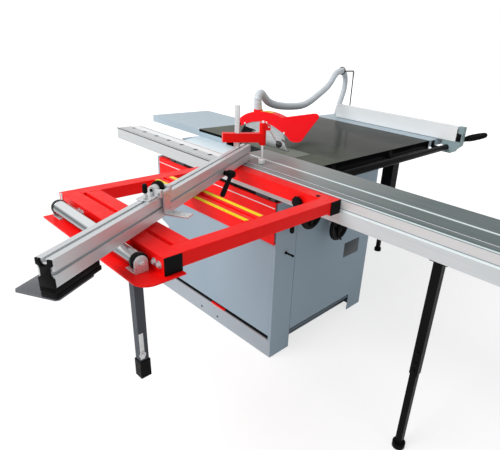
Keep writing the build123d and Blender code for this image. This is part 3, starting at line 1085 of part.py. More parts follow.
# Black cap and foot block at the fence's outer end with a flat plate behind it
with BuildPart(fence_plane) as fence_end:
    block(F_X0 - CAP_T, F_X0, -F_HALF, F_HALF, F_Z0 - END_BLOCK_H, F_Z1)
    block(F_X0 - CAP_T, F_X0 + END_BLOCK_L, -F_HALF, F_HALF, F_Z0 - END_BLOCK_H, F_Z0)
    z = F_Z0 - END_BLOCK_H
    block(F_X0 - CAP_T, F_X0 - CAP_T + END_PLATE_L, -F_HALF, F_HALF + END_PLATE_OUT, z - END_PLATE_T, z)
keep(fence_end, "fence_end")

# Flip stop: a block sliding in the fence's top slot and an arm hinged at its front
STOP_Y0 = -F_HALF + STOP_ARM_T
HINGE_Y, HINGE_Z = -F_HALF - STOP_ARM_T, F_Z1 + STOP_H / 2
with BuildPart(fence_plane) as stop_block:
    x0, x1 = -STOP_X - STOP_L / 2, -STOP_X + STOP_L / 2
    block(x0, x1, STOP_Y0, STOP_Y0 + STOP_W, F_Z1 + RUN, F_Z1 + STOP_H)
    block(x0, x1, -FENCE_SLOT / 2 + RUN, FENCE_SLOT / 2 - RUN, F_Z1 - STOP_KEY, F_Z1 + STOP_H)
    peg_y(-STOP_X, STOP_Y0 + STOP_W, STOP_Y0 + STOP_W + STOP_KNOB_L, F_Z1 + STOP_H - STOP_KNOB_R / 2,
          STOP_KNOB_R)
    for x in (x0, x1 - (STOP_L - STOP_ARM_W) / 2 + RUN):
        w = (STOP_L - STOP_ARM_W) / 2 - RUN
        block(x, x + w, HINGE_Y - STOP_PIN_R, STOP_Y0, F_Z1 + RUN, F_Z1 + STOP_H)
    peg_x(x0, x1, HINGE_Y, HINGE_Z, STOP_PIN_R)
keep(stop_block, "stop_block")

with BuildPart(fence_plane) as stop_arm:
    x0, x1 = -STOP_X - STOP_ARM_W / 2, -STOP_X + STOP_ARM_W / 2
    peg_x(x0, x1, HINGE_Y, HINGE_Z, STOP_PIN_R + STOP_ARM_T / 2)
    y0 = HINGE_Y - STOP_PIN_R - STOP_ARM_T / 2
    block(x0, x1, y0, y0 + STOP_ARM_T, F_Z0 + STOP_LOW, HINGE_Z)
    block(x0, x1, y0 - STOP_REACH, y0 + STOP_ARM_T, F_Z0 + STOP_LOW, F_Z0 + STOP_LOW + STOP_ARM_T)
    peg_x(x0, x1, HINGE_Y, HINGE_Z, STOP_PIN_R + FIT, mode=Mode.SUBTRACT)
keep(stop_arm, "stop_arm")

# Lock lever in front of the fence, hanging into the frame's opening
LEVER_Y = -F_HALF - LEVER_OUT
LEVER_ZC = F_Z0 + LEVER_Z
with BuildPart(fence_plane) as fence_lever:
    peg_y(-LEVER_X, LEVER_Y, -F_HALF - RUN, LEVER_ZC, LEVER_R)
    lean = math.radians(LEVER_LEAN)
    with Locations(Location((-LEVER_X - LEVER_L / 2 * math.sin(lean), LEVER_Y,
                             LEVER_ZC - LEVER_L / 2 * math.cos(lean)),
                            (0, LEVER_LEAN, 0))):
        Cylinder(LEVER_R, LEVER_L)
    with Locations((-LEVER_X, LEVER_Y, LEVER_ZC)):
        Sphere(LEVER_KNOB_R)
    with Locations((-LEVER_X - LEVER_L * math.sin(lean), LEVER_Y, LEVER_ZC - LEVER_L * math.cos(lean))):
        Sphere(LEVER_R)
keep(fence_lever, "fence_lever")

# Hold-down: square post on the fence
with BuildPart(fence_plane) as clamp_post:
    h = POST_S / 2
    block(-POST_X - h, -POST_X + h, POST_OFF - h, POST_OFF + h, F_Z1, F_Z1 + ARM_Z - RUN)
    peg_z(-POST_X, POST_OFF, F_Z1, F_Z1 + POST_H, h)
keep(clamp_post, "clamp_post")

# Red arm turning on the post, with the plunger's sleeve at its end
post = fence_plane.from_local_coords(Vector(-POST_X, POST_OFF, 0))
swing = math.radians(CLAMP_ANGLE)
clamp_plane = Plane(origin=(post.X, post.Y, TABLE_H), x_dir=(math.cos(swing), math.sin(swing), 0),
                    z_dir=(0, 0, 1))
A_Z0 = F_Z1 + ARM_Z
S_Z0 = A_Z0 - SLEEVE_DROP
S_Z1 = A_Z0 + SLEEVE_H
with BuildPart(clamp_plane) as clamp_arm:
    block(-ARM_BACK, ARM_REACH, -ARM_W / 2, ARM_W / 2, A_Z0, A_Z0 + ARM_H)
    peg_z(ARM_REACH, 0, S_Z0, S_Z1, SLEEVE_R)
    for side in (-1, 1):
        y0, y1 = sorted((side * (CLAMP_FORK / 2 + RUN), side * SLEEVE_R))
        block(ARM_REACH - SLEEVE_R / 2, ARM_REACH + 2 * SLEEVE_R, y0, y1, S_Z1 - 2 * SLEEVE_R,
              S_Z1 - SLEEVE_R / 2)
    block(ARM_REACH + SLEEVE_R, ARM_REACH + 2 * SLEEVE_R, -CLAMP_FORK / 2 - RUN, CLAMP_FORK / 2 + RUN,
          S_Z1 - 2 * SLEEVE_R, S_Z1, mode=Mode.SUBTRACT)
    peg_y(ARM_REACH + 1.5 * SLEEVE_R, -SLEEVE_R, SLEEVE_R, S_Z1 - SLEEVE_R, CLAMP_PIN_R + FIT,
          mode=Mode.SUBTRACT)
    peg_z(0, 0, A_Z0, A_Z0 + ARM_H, POST_S / 2 + FIT, mode=Mode.SUBTRACT)
    peg_z(ARM_REACH, 0, S_Z0, S_Z1, PLUNGER_R + FIT, mode=Mode.SUBTRACT)
keep(clamp_arm, "clamp_arm")

with BuildPart(clamp_plane) as clamp_plunger:
    peg_z(ARM_REACH, 0, PAD_AIR, S_Z1 + PLUNGER_TOP, PLUNGER_R)
    peg_z(ARM_REACH, 0, PAD_AIR, PAD_AIR + PAD_H, PAD_R)
keep(clamp_plunger, "clamp_plunger")

with BuildPart(clamp_plane) as clamp_lever:
    xp, zp = ARM_REACH + 1.5 * SLEEVE_R, S_Z1 - SLEEVE_R
    peg_y(xp, -SLEEVE_R, SLEEVE_R, zp, CLAMP_PIN_R)
    run = math.hypot(CLAMP_LEVER_X, CLAMP_LEVER_Z)
    tip = math.degrees(math.atan2(CLAMP_LEVER_X, CLAMP_LEVER_Z))
    with Locations(Location((xp + CLAMP_LEVER_X / 2, 0, zp - CLAMP_LEVER_Z / 2), (0, -tip, 0))):
        Cylinder(CLAMP_LEVER_R, run)
    with Locations((xp, 0, zp)):
        Sphere(CLAMP_LEVER_R)
    with Locations((xp + CLAMP_LEVER_X, 0, zp - CLAMP_LEVER_Z)):
        Sphere(BALL_R)
keep(clamp_lever, "clamp_lever")

# Rip fence: hollow profile with a top slot and a guide slot on its right side
RIP_X0 = CAB_X0 + RIP_X
RIP_X1 = RIP_X0 + RIP_W
RIP_Y0 = CAB_Y0 - RIP_FRONT
RIP_Z0 = TABLE_H + RIP_AIR
RIP_Z1 = RIP_Z0 + RIP_H
with BuildPart() as rip_fence:
    block(RIP_X0, RIP_X1, RIP_Y0, RIP_Y0 + RIP_L, RIP_Z0, RIP_Z1)
    xm = (RIP_X0 + RIP_X1) / 2
    block(xm - RIP_SLOT / 2, xm + RIP_SLOT / 2, RIP_Y0, RIP_Y0 + RIP_L, RIP_Z1 - RIP_SLOT, RIP_Z1,
          mode=Mode.SUBTRACT)
    block(RIP_X0 + RIP_WALL, RIP_X1 - RIP_WALL, RIP_Y0, RIP_Y0 + RIP_L, RIP_Z0 + RIP_WALL,
          RIP_Z1 - RIP_SLOT - RIP_WALL, mode=Mode.SUBTRACT)
keep(rip_fence, "rip_fence")

# Rip fence carriage: C-shaped shoe on the bar, casting at the fence's front end and a guide bar beside it
CAST_Y0 = RIP_Y0 - RIP_CAST_T
CAST_X0 = RIP_X0 + RIP_CAST_IN
CAST_X1 = CAST_X0 + RIP_CAST_W
GUIDE_X0 = RIP_X1 + RUN
RIP_ZM = (RIP_Z0 + RIP_Z1) / 2
with BuildPart() as rip_carriage:
    r = BAR_R + RIP_BLOCK_WALL
    z_top = TABLE_H + RIP_AIR
    x0, x1 = RIP_X0, RIP_X0 + RIP_BLOCK_W
    block(x0, x1, BAR_YC - r, BAR_YC + r, BAR_Z - r, z_top)
    block(x0, CAST_X1, CAST_Y0, BAR_YC, z_top - RIP_SHOE_T, z_top)
    with BuildSketch(Plane.YZ.offset(x0)):
        Polygon((BAR_YC - r, BAR_Z - r), (CAST_Y0, z_top - RIP_SHOE_T), (CAST_Y0, z_top),
                (BAR_YC - r, z_top), align=None)
    extrude(amount=CAST_X1 - x0)
    block(CAST_X0, CAST_X1, CAST_Y0, RIP_Y0 - RUN, z_top - RIP_SHOE_T, TABLE_H + RIP_CAST_H)
    block(GUIDE_X0, GUIDE_X0 + RIP_GUIDE_W, RIP_Y0 - RUN, RIP_Y0 + RIP_GUIDE_L,
          RIP_ZM - RIP_GUIDE_H / 2, RIP_ZM + RIP_GUIDE_H / 2)
    peg_x(x0, x1, BAR_YC, BAR_Z, BAR_R + FIT, mode=Mode.SUBTRACT)
    half = BAR_BRACKET_T / 2 + RIP_AIR
    block(x0, x1, BAR_YC, BAR_YC + r, BAR_Z - half, BAR_Z + half, mode=Mode.SUBTRACT)
    block(RIP_X0 - RUN, RIP_X1 + RUN, RIP_Y0 - RUN, BAR_YC + r, z_top - RUN, z_top, mode=Mode.SUBTRACT)
    peg_x(CAST_X1 - 2 * RIP_LEVER_R, CAST_X1, (CAST_Y0 + RIP_Y0) / 2, TABLE_H + RIP_LEVER_Z, RIP_PIN_R + FIT,
          mode=Mode.SUBTRACT)
keep(rip_carriage, "rip_carriage")

# Rip lever on the casting's right side, pointing at the operator
with BuildPart() as rip_lever:
    yp = (CAST_Y0 + RIP_Y0) / 2
    xl, zp = CAST_X1 + RUN + RIP_LEVER_R, TABLE_H + RIP_LEVER_Z
    peg_x(CAST_X1 - 2 * RIP_LEVER_R + RUN, xl, yp, zp, RIP_PIN_R)
    rise = math.radians(RIP_LEVER_RISE)
    with Locations(Location((xl, yp - RIP_LEVER_L / 2 * math.cos(rise),
                             zp + RIP_LEVER_L / 2 * math.sin(rise)),
                            (90 - RIP_LEVER_RISE, 0, 0))):
        Cylinder(RIP_LEVER_R, RIP_LEVER_L)
    for k in (0, RIP_LEVER_L):
        with Locations((xl, yp - k * math.cos(rise), zp + k * math.sin(rise))):
            Sphere(RIP_LEVER_R)
keep(rip_lever, "rip_lever")

# Ribbed hose along its course, plain at both ends, with its bore
CUFF = 2 * HOSE_R
PITCH = (hose_path.length - 2 * CUFF) / HOSE_RIBS
stations = [(0, HOSE_R), (CUFF, HOSE_R)]
for i in range(HOSE_RIBS):
    s0 = CUFF + i * PITCH
    stations += [(s0 + 0.15 * PITCH, HOSE_ROOT), (s0 + 0.45 * PITCH, HOSE_ROOT),
                 (s0 + 0.60 * PITCH, HOSE_R), (s0 + 1.00 * PITCH, HOSE_R)]
stations.append((hose_path.length, HOSE_R))
with BuildPart() as hose:
    for at, r in stations:
        point = hose_path.position_at(at, position_mode=PositionMode.LENGTH)
        along = hose_path.tangent_at(at, position_mode=PositionMode.LENGTH)
        side = Vector(0, 1, 0) - along * along.Y
        with BuildSketch(Plane(origin=point, x_dir=side, z_dir=along)):
            Circle(r)
    loft(ruled=True)
    with BuildSketch(Plane(origin=hose_path @ 0, z_dir=hose_path % 0)):
        Circle(HOSE_BORE)
    sweep(path=hose_path, mode=Mode.SUBTRACT)
print("hose length", round(hose_path.length), "volume", round(hose.part.volume))
keep(hose, "hose")
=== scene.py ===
"""Combination saw and spindle moulder: finishes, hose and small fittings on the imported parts."""
from math import cos, pi, radians, sin

import bmesh
import bpy
from mathutils import Matrix, Vector


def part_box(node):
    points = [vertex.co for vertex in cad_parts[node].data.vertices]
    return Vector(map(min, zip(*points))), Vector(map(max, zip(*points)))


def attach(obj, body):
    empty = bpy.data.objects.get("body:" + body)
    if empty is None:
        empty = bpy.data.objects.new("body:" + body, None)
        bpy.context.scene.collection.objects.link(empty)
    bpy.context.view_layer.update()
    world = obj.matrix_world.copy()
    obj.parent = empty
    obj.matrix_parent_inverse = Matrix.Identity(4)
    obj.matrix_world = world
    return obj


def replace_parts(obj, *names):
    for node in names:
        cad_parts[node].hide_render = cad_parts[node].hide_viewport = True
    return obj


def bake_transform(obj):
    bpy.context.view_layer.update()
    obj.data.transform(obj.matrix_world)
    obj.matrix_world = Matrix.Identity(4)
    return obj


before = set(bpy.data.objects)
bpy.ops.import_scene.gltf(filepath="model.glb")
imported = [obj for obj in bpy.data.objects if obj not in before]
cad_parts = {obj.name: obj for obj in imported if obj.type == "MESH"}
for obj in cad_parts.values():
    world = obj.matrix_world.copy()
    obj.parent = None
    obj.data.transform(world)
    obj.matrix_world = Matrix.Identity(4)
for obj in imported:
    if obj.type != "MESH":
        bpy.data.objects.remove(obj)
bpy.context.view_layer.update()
scene = bpy.context.scene
scene.view_settings.view_transform = "Standard"

# Viewpoint: eye height in front of the machine and to its left, looking over the sliding table to the saw.
# The directions are the picture's own right, up and back; the shift only frames the machine.
eye = (-1.54654, -1.55939, 1.36242)
right = Vector((0.672262, -0.736807, 0.071967))
up = Vector((0.260031, 0.326028, 0.908895))
view = bpy.data.objects.new("view", bpy.data.cameras.new("view"))
view.matrix_world = Matrix.Translation(eye) @ Matrix((right, up, right.cross(up))).transposed().to_4x4()
view.data.sensor_fit = "HORIZONTAL"
view.data.sensor_width = 36.0
view.data.lens = 32.0
view.data.shift_x, view.data.shift_y = -0.0952, 0.0228
scene.collection.objects.link(view)
scene.camera = view

# Studio: a pale floor that keeps the machine's shadow and fades into an even white surround.
# One large soft lamp hangs high on the left, so left sides are light and the front stays in half shade.
floor_half = 14.0
ground = bpy.data.meshes.new("floor")
bm = bmesh.new()
bmesh.ops.create_grid(bm, x_segments=1, y_segments=1, size=floor_half)
bm.to_mesh(ground)
bm.free()
floor = bpy.data.objects.new("floor", ground)
scene.collection.objects.link(floor)


def add(mat, kind, settings=None, **sockets):
    """One node of a material, its sockets set or linked; i0, i1 and so on are sockets by number."""
    node = mat.node_tree.nodes.new("ShaderNode" + kind)
    for key, value in (settings or {}).items():
        setattr(node, key, value)
    for key, value in sockets.items():
        socket = node.inputs[int(key[1:])] if key[1:].isdigit() else node.inputs[key.replace("_", " ")]
        if isinstance(value, bpy.types.NodeSocket):
            mat.node_tree.links.new(value, socket)
        else:
            socket.default_value = value
    return node


def maths(mat, operation, *values):
    """The result of one sum on numbers or on other nodes' results."""
    sockets = {f"i{k}": value for k, value in enumerate(values)}
    return add(mat, "Math", {"operation": operation}, **sockets).outputs[0]


def graded(mat, value, start, end, first=0.0, last=1.0):
    """Runs from first to last while a value runs from start to end."""
    ramp = add(mat, "MapRange", Value=value, From_Min=start, From_Max=end, To_Min=first, To_Max=last)
    return ramp.outputs[0]


def shown_as_white(mat):
    """1 for what the camera, a mirror or a clear pane shows, 0 for what only lights the machine."""
    rays = add(mat, "LightPath").outputs
    mirrored = maths(mat, "MAXIMUM", rays["Is Glossy Ray"], rays["Is Transmission Ray"])
    return maths(mat, "MAXIMUM", mirrored, rays["Is Camera Ray"])


shadow_reach, white_reach = 1.5, 3.6
pale = bpy.data.materials.new("studio_floor")
pale.use_nodes = True
pale.node_tree.nodes.clear()
reach = add(pale, "VectorMath", {"operation": "LENGTH"}, i0=add(pale, "TexCoord").outputs["Object"])
fade = graded(pale, reach.outputs["Value"], shadow_reach, white_reach, 0.56, 1.0)
white = maths(pale, "MULTIPLY", shown_as_white(pale), fade)
dull = add(pale, "BsdfDiffuse", Color=(0.86, 0.86, 0.86, 1))
glow = add(pale, "Emission", Color=(1, 1, 1, 1), Strength=1.25)
both = add(pale, "MixShader", i0=white, i1=dull.outputs[0], i2=glow.outputs[0])
add(pale, "OutputMaterial", Surface=both.outputs[0])
ground.materials.append(pale)

room_light = 0.42
studio = bpy.data.worlds.new("studio")
studio.use_nodes = True
scene.world = studio
sky = studio.node_tree.nodes["Background"]
sky.inputs["Color"].default_value = (1, 1, 1, 1)
level = graded(studio, shown_as_white(studio), 0.0, 1.0, room_light, 1.0)
studio.node_tree.links.new(level, sky.inputs["Strength"])

machine_middle = Vector((0, 0, 0.6))
for name, place, size, power in (("softbox", (-4.2, 0.9, 4.6), 3.5, 240.0),
                                 ("front_fill", (-1.5, -5.5, 3.0), 3.0, 25.0)):
    lamp = bpy.data.objects.new(name, bpy.data.lights.new(name, "AREA"))
    lamp.data.size = size
    lamp.data.energy = power
    aim = (Vector(place) - machine_middle).to_track_quat("Z", "Y").to_matrix().to_4x4()
    lamp.matrix_world = Matrix.Translation(place) @ aim
    scene.collection.objects.link(lamp)

# Extraction hose: light grey ribbed plastic, 38 mm outside, pushed on the guard's collar, lifted over the
# hooked rod and led down behind the machine to the dust port.
hose_r, hose_cuff, hose_ribs = 0.0190, 0.038, 190
route = [(-0.039, 0.039, 1.028), (-0.039, 0.039, 1.044), (-0.050, 0.035, 1.070), (-0.039, 0.039, 1.096),
         (-0.014, 0.047, 1.102), (0.012, 0.056, 1.080), (0.060, 0.073, 1.050), (0.149, 0.102, 1.026),
         (0.285, 0.149, 1.006), (0.455, 0.206, 0.991), (0.573, 0.246, 1.000), (0.708, 0.292, 1.031),
         (0.833, 0.334, 1.061), (0.908, 0.360, 1.089), (0.965, 0.379, 1.127), (1.025, 0.402, 1.153),
         (1.133, 0.436, 1.164), (1.198, 0.454, 1.118), (1.215, 0.462, 1.050), (1.199, 0.465, 0.985),
         (1.177, 0.470, 0.920), (1.161, 0.475, 0.845), (1.133, 0.482, 0.755), (1.068, 0.490, 0.655),
         (0.963, 0.494, 0.575), (0.823, 0.492, 0.525), (0.663, 0.486, 0.497), (0.503, 0.479, 0.485),
         (0.363, 0.473, 0.481), (0.243, 0.470, 0.480), (0.148, 0.470, 0.480)]
line = bpy.data.curves.new("hose_line", "CURVE")
line.dimensions = "3D"
run = line.splines.new("NURBS")
run.points.add(len(route) - 1)
for point, place in zip(run.points, route):
    point.co = (*place, 1.0)
run.order_u = 3
run.use_endpoint_u = True
run.resolution_u = 16
guide = bpy.data.objects.new("hose_line", line)
scene.collection.objects.link(guide)
course = bpy.data.meshes.new_from_object(guide)
path = [vert.co.copy() for vert in course.vertices]
bpy.data.objects.remove(guide)
bpy.data.meshes.remove(course)
bpy.data.curves.remove(line)

steps = [(b - a).length for a, b in zip(path, path[1:])]
hose_length = sum(steps)
pitch = (hose_length - 2 * hose_cuff) / hose_ribs
rib = ((0.00, 0.0186), (0.07, 0.0178), (0.17, 0.0174), (0.40, 0.0174), (0.50, 0.0178), (0.57, 0.0186),
       (0.66, hose_r), (0.91, hose_r))
rings = [(0.0, hose_r), (hose_cuff * 0.9, hose_r)]
rings += [(hose_cuff + (k + at) * pitch, radius) for k in range(hose_ribs) for at, radius in rib]
rings += [(hose_length - hose_cuff * 0.9, hose_r), (hose_length, hose_r)]


def along(points, spans, distance):
    """Point and direction at a distance along a line of points."""
    for start, end, span in zip(points, points[1:], spans):
        if distance <= span or end is points[-1]:
            return start.lerp(end, min(1.0, distance / span)), (end - start).normalized()
        distance -= span


def joined(bm, part, place=Matrix()):
    """A shape made by itself becomes part of a piece, set in its place."""
    bmesh.ops.transform(part, matrix=place, verts=part.verts)
    loose = bpy.data.meshes.new("loose")
    part.to_mesh(loose)
    part.free()
    bm.from_mesh(loose)
    bpy.data.meshes.remove(loose)


def drawn_tube(bm, stations, sides, lot=32):
    """A tube through (centre, direction, radius) stations: a ring drawn on in lots, then the ends closed."""
    heading = stations[0][1]
    turn = heading.to_track_quat("Z", "Y").to_matrix()
    for first in range(0, len(stations) - 1, lot):
        part = bmesh.new()
        verts = bmesh.ops.create_circle(part, segments=sides, radius=1.0)["verts"]
        edges = list(part.edges)
        last = Matrix()
        for k, (centre, way, radius) in enumerate(stations[first:first + lot + 1]):
            turn = heading.rotation_difference(way).to_matrix() @ turn
            heading = way
            place = Matrix.Translation(centre) @ turn.to_4x4() @ Matrix.Diagonal((radius, radius, radius, 1))
            if k:
                drawn = bmesh.ops.extrude_edge_only(part, edges=edges)["geom"]
                verts = [item for item in drawn if isinstance(item, bmesh.types.BMVert)]
                edges = [item for item in drawn if isinstance(item, bmesh.types.BMEdge)
                         and all(vert in verts for vert in item.verts)]
            bmesh.ops.transform(part, matrix=place @ last.inverted(), verts=verts)
            last = place
        joined(bm, part)
    bmesh.ops.remove_doubles(bm, verts=bm.verts, dist=0.000002)
    bmesh.ops.holes_fill(bm, edges=[edge for edge in bm.edges if edge.is_boundary], sides=0)


def settle(bm, name, mat, body, crease=32):
    """A finished mesh becomes a named piece with its finish, riding on its body if one is given."""
    bmesh.ops.recalc_face_normals(bm, faces=bm.faces)
    for face in bm.faces:
        face.smooth = True
    for edge in bm.edges:
        edge.smooth = edge.is_manifold and edge.calc_face_angle(0.0) < radians(crease)
    mesh = bpy.data.meshes.new(name)
    bm.to_mesh(mesh)
    bm.free()
    mesh.materials.append(mat)
    piece = bpy.data.objects.new(name, mesh)
    scene.collection.objects.link(piece)
    if body:
        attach(piece, body)
    return piece


def finish(name, colour, rough, metal=0.0, gloss=0.5):
    """A finish whose even values sit on the shader itself; patterns read the piece's own coordinates."""
    mat = bpy.data.materials.new(name)
    mat.use_nodes = True
    shader = mat.node_tree.nodes["Principled BSDF"]
    shader.inputs["Base Color"].default_value = (*colour, 1)
    shader.inputs["Roughness"].default_value = rough
    shader.inputs["Metallic"].default_value = metal
    shader.inputs["Specular IOR Level"].default_value = gloss
    add(mat, "TexCoord").name = "place"
    return mat


def feed(mat, socket, value):
    """A node's result drives one of the shader's values."""
    mat.node_tree.links.new(value, mat.node_tree.nodes["Principled BSDF"].inputs[socket])


def grain(mat, scale, stretch=(1, 1, 1), turn=0.0, detail=3.0):
    """Noise at a scale per metre, drawn out along an axis with a small stretch, turned about the upright."""
    place = mat.node_tree.nodes["place"].outputs["Object"]
    swung = add(mat, "Mapping", Vector=place, Rotation=(0, 0, -radians(turn)))
    laid = add(mat, "Mapping", Vector=swung.outputs[0], Scale=stretch)
    return add(mat, "TexNoise", Vector=laid.outputs[0], Scale=scale, Detail=detail, Roughness=0.55).outputs[0]


def tone_between(mat, factor, first, second):
    """A tone from the first to the second colour, either of them a colour or another node's."""
    first, second = ((*c, 1) if isinstance(c, tuple) else c for c in (first, second))
    return add(mat, "Mix", {"data_type": "RGBA"}, i0=factor, i6=first, i7=second).outputs[2]


def roughness_between(mat, factor, low, high):
    """Roughness that follows a pattern between two values."""
    feed(mat, "Roughness", graded(mat, factor, 0.3, 0.7, low, high))


def relief(mat, factor, depth):
    """Surface relief of a depth in metres."""
    feed(mat, "Normal", add(mat, "Bump", Strength=1.0, Distance=depth, Height=factor).outputs[0])


def clouded(name, colour, rough, tones, patches, pebble=None, metal=0.0, gloss=0.5):
    """A finish with tones (scale, dark, light), gloss patches (scale, low, high), relief (scale, depth)."""
    mat = finish(name, colour, rough, metal, gloss)
    scale, dark, light = tones
    feed(mat, "Base Color", tone_between(mat, grain(mat, scale), dark, light))
    scale, low, high = patches
    roughness_between(mat, grain(mat, scale), low, high)
    if pebble:
        scale, depth = pebble
        relief(mat, grain(mat, scale), depth)
    return mat


hose_plastic = clouded("hose_plastic", (0.64, 0.69, 0.73), 0.42, (14, (0.60, 0.65, 0.69), (0.68, 0.73, 0.77)),
                       (60, 0.36, 0.50), (900, 0.00005), gloss=0.4)
bm = bmesh.new()
drawn_tube(bm, [(*along(path, steps, at), radius) for at, radius in rings], 20)
hose = settle(bm, "ribbed_hose", hose_plastic, None, 60)
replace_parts(hose, "hose")
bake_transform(hose)

# Plinth: two folded C rails of pale grey sheet on the floor, with a gap between them and the cabinet that is
# painted black as painted shade.
# Powder coated sheet steel; hexagon bolts hold it together, and a red packing strip is screwed in the gap.
plinth_side = -0.357
plinth_coat = clouded("plinth_coat", (0.43, 0.45, 0.48), 0.5, (3, (0.37, 0.415, 0.465), (0.45, 0.495, 0.54)),
                      (30, 0.42, 0.58), (700, 0.00006), gloss=0.15)


def place_along(mat, axis, reading="Object"):
    """How far along an axis a point lies, or how much its normal points that way."""
    return add(mat, "SeparateXYZ", Vector=mat.node_tree.nodes["place"].outputs[reading]).outputs[axis]


def both_of(mat, first, second):
    """1 where two masks are both 1."""
    return maths(mat, "MULTIPLY", first, second)


def zone(mat, **spans):
    """1 where a point lies between two values along each axis that is named, else 0."""
    inside = None
    for axis, (low, high) in spans.items():
        along_axis = maths(mat, "COMPARE", place_along(mat, axis), (low + high) / 2, (high - low) / 2)
        inside = both_of(mat, inside, along_axis) if inside else along_axis
    return inside


def tone_of(mat):
    """The node result that gives a finish its colour so far."""
    return mat.node_tree.nodes["Principled BSDF"].inputs["Base Color"].links[0].from_socket


def painted(mat, mask, colour):
    """Another colour where a mask is 1, over the colour so far."""
    feed(mat, "Base Color", tone_between(mat, mask, tone_of(mat), colour))


# Painted light and shade: the gap is painted black, and its ledge runs from a painted highlight at the outer
# edge to black inside.
ledge_edge, ledge_back = -0.3545, -0.3420
depth = graded(plinth_coat, place_along(plinth_coat, "X"), ledge_edge, ledge_back)
ledge_light_and_shade = tone_between(plinth_coat, depth, (0.72, 0.73, 0.76), (0.008, 0.008, 0.009))
gap = zone(plinth_coat, Z=(0.0822, 0.0900), X=(-0.3560, -0.2500))
painted(plinth_coat, gap, ledge_light_and_shade)


def dress(name, mat, edge=0.0, segments=2):
    """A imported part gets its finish, and where an edge size is given, that much broken edge."""
    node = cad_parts[name]
    node.data.materials.clear()
    node.data.materials.append(mat)
    if edge:
        weld = node.modifiers.new("weld", "WELD")
        weld.merge_threshold = 0.00001
        flat = node.modifiers.new("flat", "DECIMATE")
        flat.decimate_type = "DISSOLVE"
        flat.angle_limit = radians(0.4)
        ease = node.modifiers.new("ease", "BEVEL")
        ease.width = edge
        ease.segments = segments
        ease.limit_method = "ANGLE"
        ease.angle_limit = radians(40)
        ease.harden_normals = True


def facing(place, way):
    """Stands a shape on a point, its height along a direction."""
    return Matrix.Translation(place) @ Vector(way).to_track_quat("Z", "Y").to_matrix().to_4x4()


def turned(bm, place, section, sides=24, closed=False):
    """A turned shape: a half section of (radius, height) points spun once round."""
    part = bmesh.new()
    verts = [part.verts.new((radius, 0, height)) for radius, height in section]
    edges = [part.edges.new(pair) for pair in zip(verts, verts[1:])]
    if closed:
        edges.append(part.edges.new((verts[-1], verts[0])))
    bmesh.ops.spin(part, geom=verts + edges, cent=(0, 0, 0), axis=(0, 0, 1), angle=2 * pi, steps=sides,
                   use_merge=True)
    bmesh.ops.remove_doubles(part, verts=part.verts, dist=0.000001)
    joined(bm, part, place)


def hex_bolt(bm, place, across):
    """A chamfered hexagon head on a round washer, measured across its flats."""
    washer, half = across * 0.95, across * 0.577
    turned(bm, place, [(0, 0), (washer, 0), (washer, across * 0.14), (0, across * 0.14)], 20)
    turned(bm, place, [(0, across * 0.1), (half, across * 0.1), (half, across * 0.6),
                       (half * 0.85, across * 0.7), (0, across * 0.7)], 6)


def rounded(part, ease):
    """All edges of a shape rounded."""
    bmesh.ops.bevel(part, geom=list(part.edges), offset=ease, offset_type="OFFSET", affect="EDGES",
                    segments=2, profile=0.5, material=-1, clamp_overlap=True)


def eased_block(bm, low, high, ease, place=Matrix()):
    """A block between two corners with its edges rounded."""
    part = bmesh.new()
    bmesh.ops.create_cube(part, size=1.0)
    span = Vector(high) - Vector(low)
    bmesh.ops.scale(part, vec=span, verts=part.verts)
    bmesh.ops.translate(part, vec=Vector(low) + span / 2, verts=part.verts)
    rounded(part, ease)
    joined(bm, part, place)


red_coat = clouded("red_gloss_coat", (0.92, 0.006, 0.005), 0.38,
                   (2.5, (0.88, 0.005, 0.0045), (0.97, 0.008, 0.007)), (30, 0.32, 0.44), gloss=0.12)
relief(red_coat, grain(red_coat, 420, detail=1.0), 0.00003)
black_dark, black, black_light = (0.004, 0.004, 0.0045), (0.006, 0.006, 0.0065), (0.009, 0.009, 0.0095)
black_steel = clouded("black_steel", black, 0.40, (20, black_dark, black_light), (60, 0.34, 0.48), gloss=0.05)
dress("base_frame", plinth_coat, 0.0008)
bm = bmesh.new()
for y, z in ((0.080, 0.031), (-0.050, 0.032)):
    hex_bolt(bm, facing((plinth_side, y, z), (-1, 0, 0)), 0.0055)
settle(bm, "plinth_bolts", black_steel, "stand")
bm = bmesh.new()
eased_block(bm, (-0.350, -0.094, 0.083), (-0.338, 0.011, 0.090), 0.0012)
for y in (-0.084, 0.001):
    screw = Matrix.Translation((-0.344, y, 0.0898))
    turned(bm, screw, [(0, 0), (0.0034, 0), (0.0026, 0.0012), (0, 0.0014)], 12)
settle(bm, "packing_strip", red_coat, "stand")

# Cabinet, corner post and front panel: folded sheet steel with a fine satin coat in light blue grey.
# The panel has a shallow pocket with a bare dark plate and a sunk screw; a latch pin stands by the post.
panel_front = -0.430
grey_coat = clouded("cabinet_coat", (0.33, 0.42, 0.49), 0.45,
                    (2.2, (0.305, 0.395, 0.465), (0.345, 0.435, 0.505)), (25, 0.38, 0.52), (650, 0.00006),
                    gloss=0.12)
seam = zone(grey_coat, X=(-0.2335, -0.2312), Y=(-0.4400, -0.4290))
painted(grey_coat, seam, (0.13, 0.17, 0.20))
for name in ("cabinet_body", "corner_post", "front_panel"):
    dress(name, grey_coat, 0.0010)


def cut_plate(bm, corners, thick, ease, place):
    """A flat plate: the face of its outline drawn to a thickness, all edges rounded."""
    part = bmesh.new()
    face = part.faces.new([part.verts.new((x, y, 0)) for x, y in corners])
    drawn = bmesh.ops.extrude_face_region(part, geom=[face])["geom"]
    bmesh.ops.translate(part, vec=(0, 0, thick),
                        verts=[item for item in drawn if isinstance(item, bmesh.types.BMVert)])
    bmesh.ops.recalc_face_normals(part, faces=part.faces)
    rounded(part, ease)
    joined(bm, part, place)


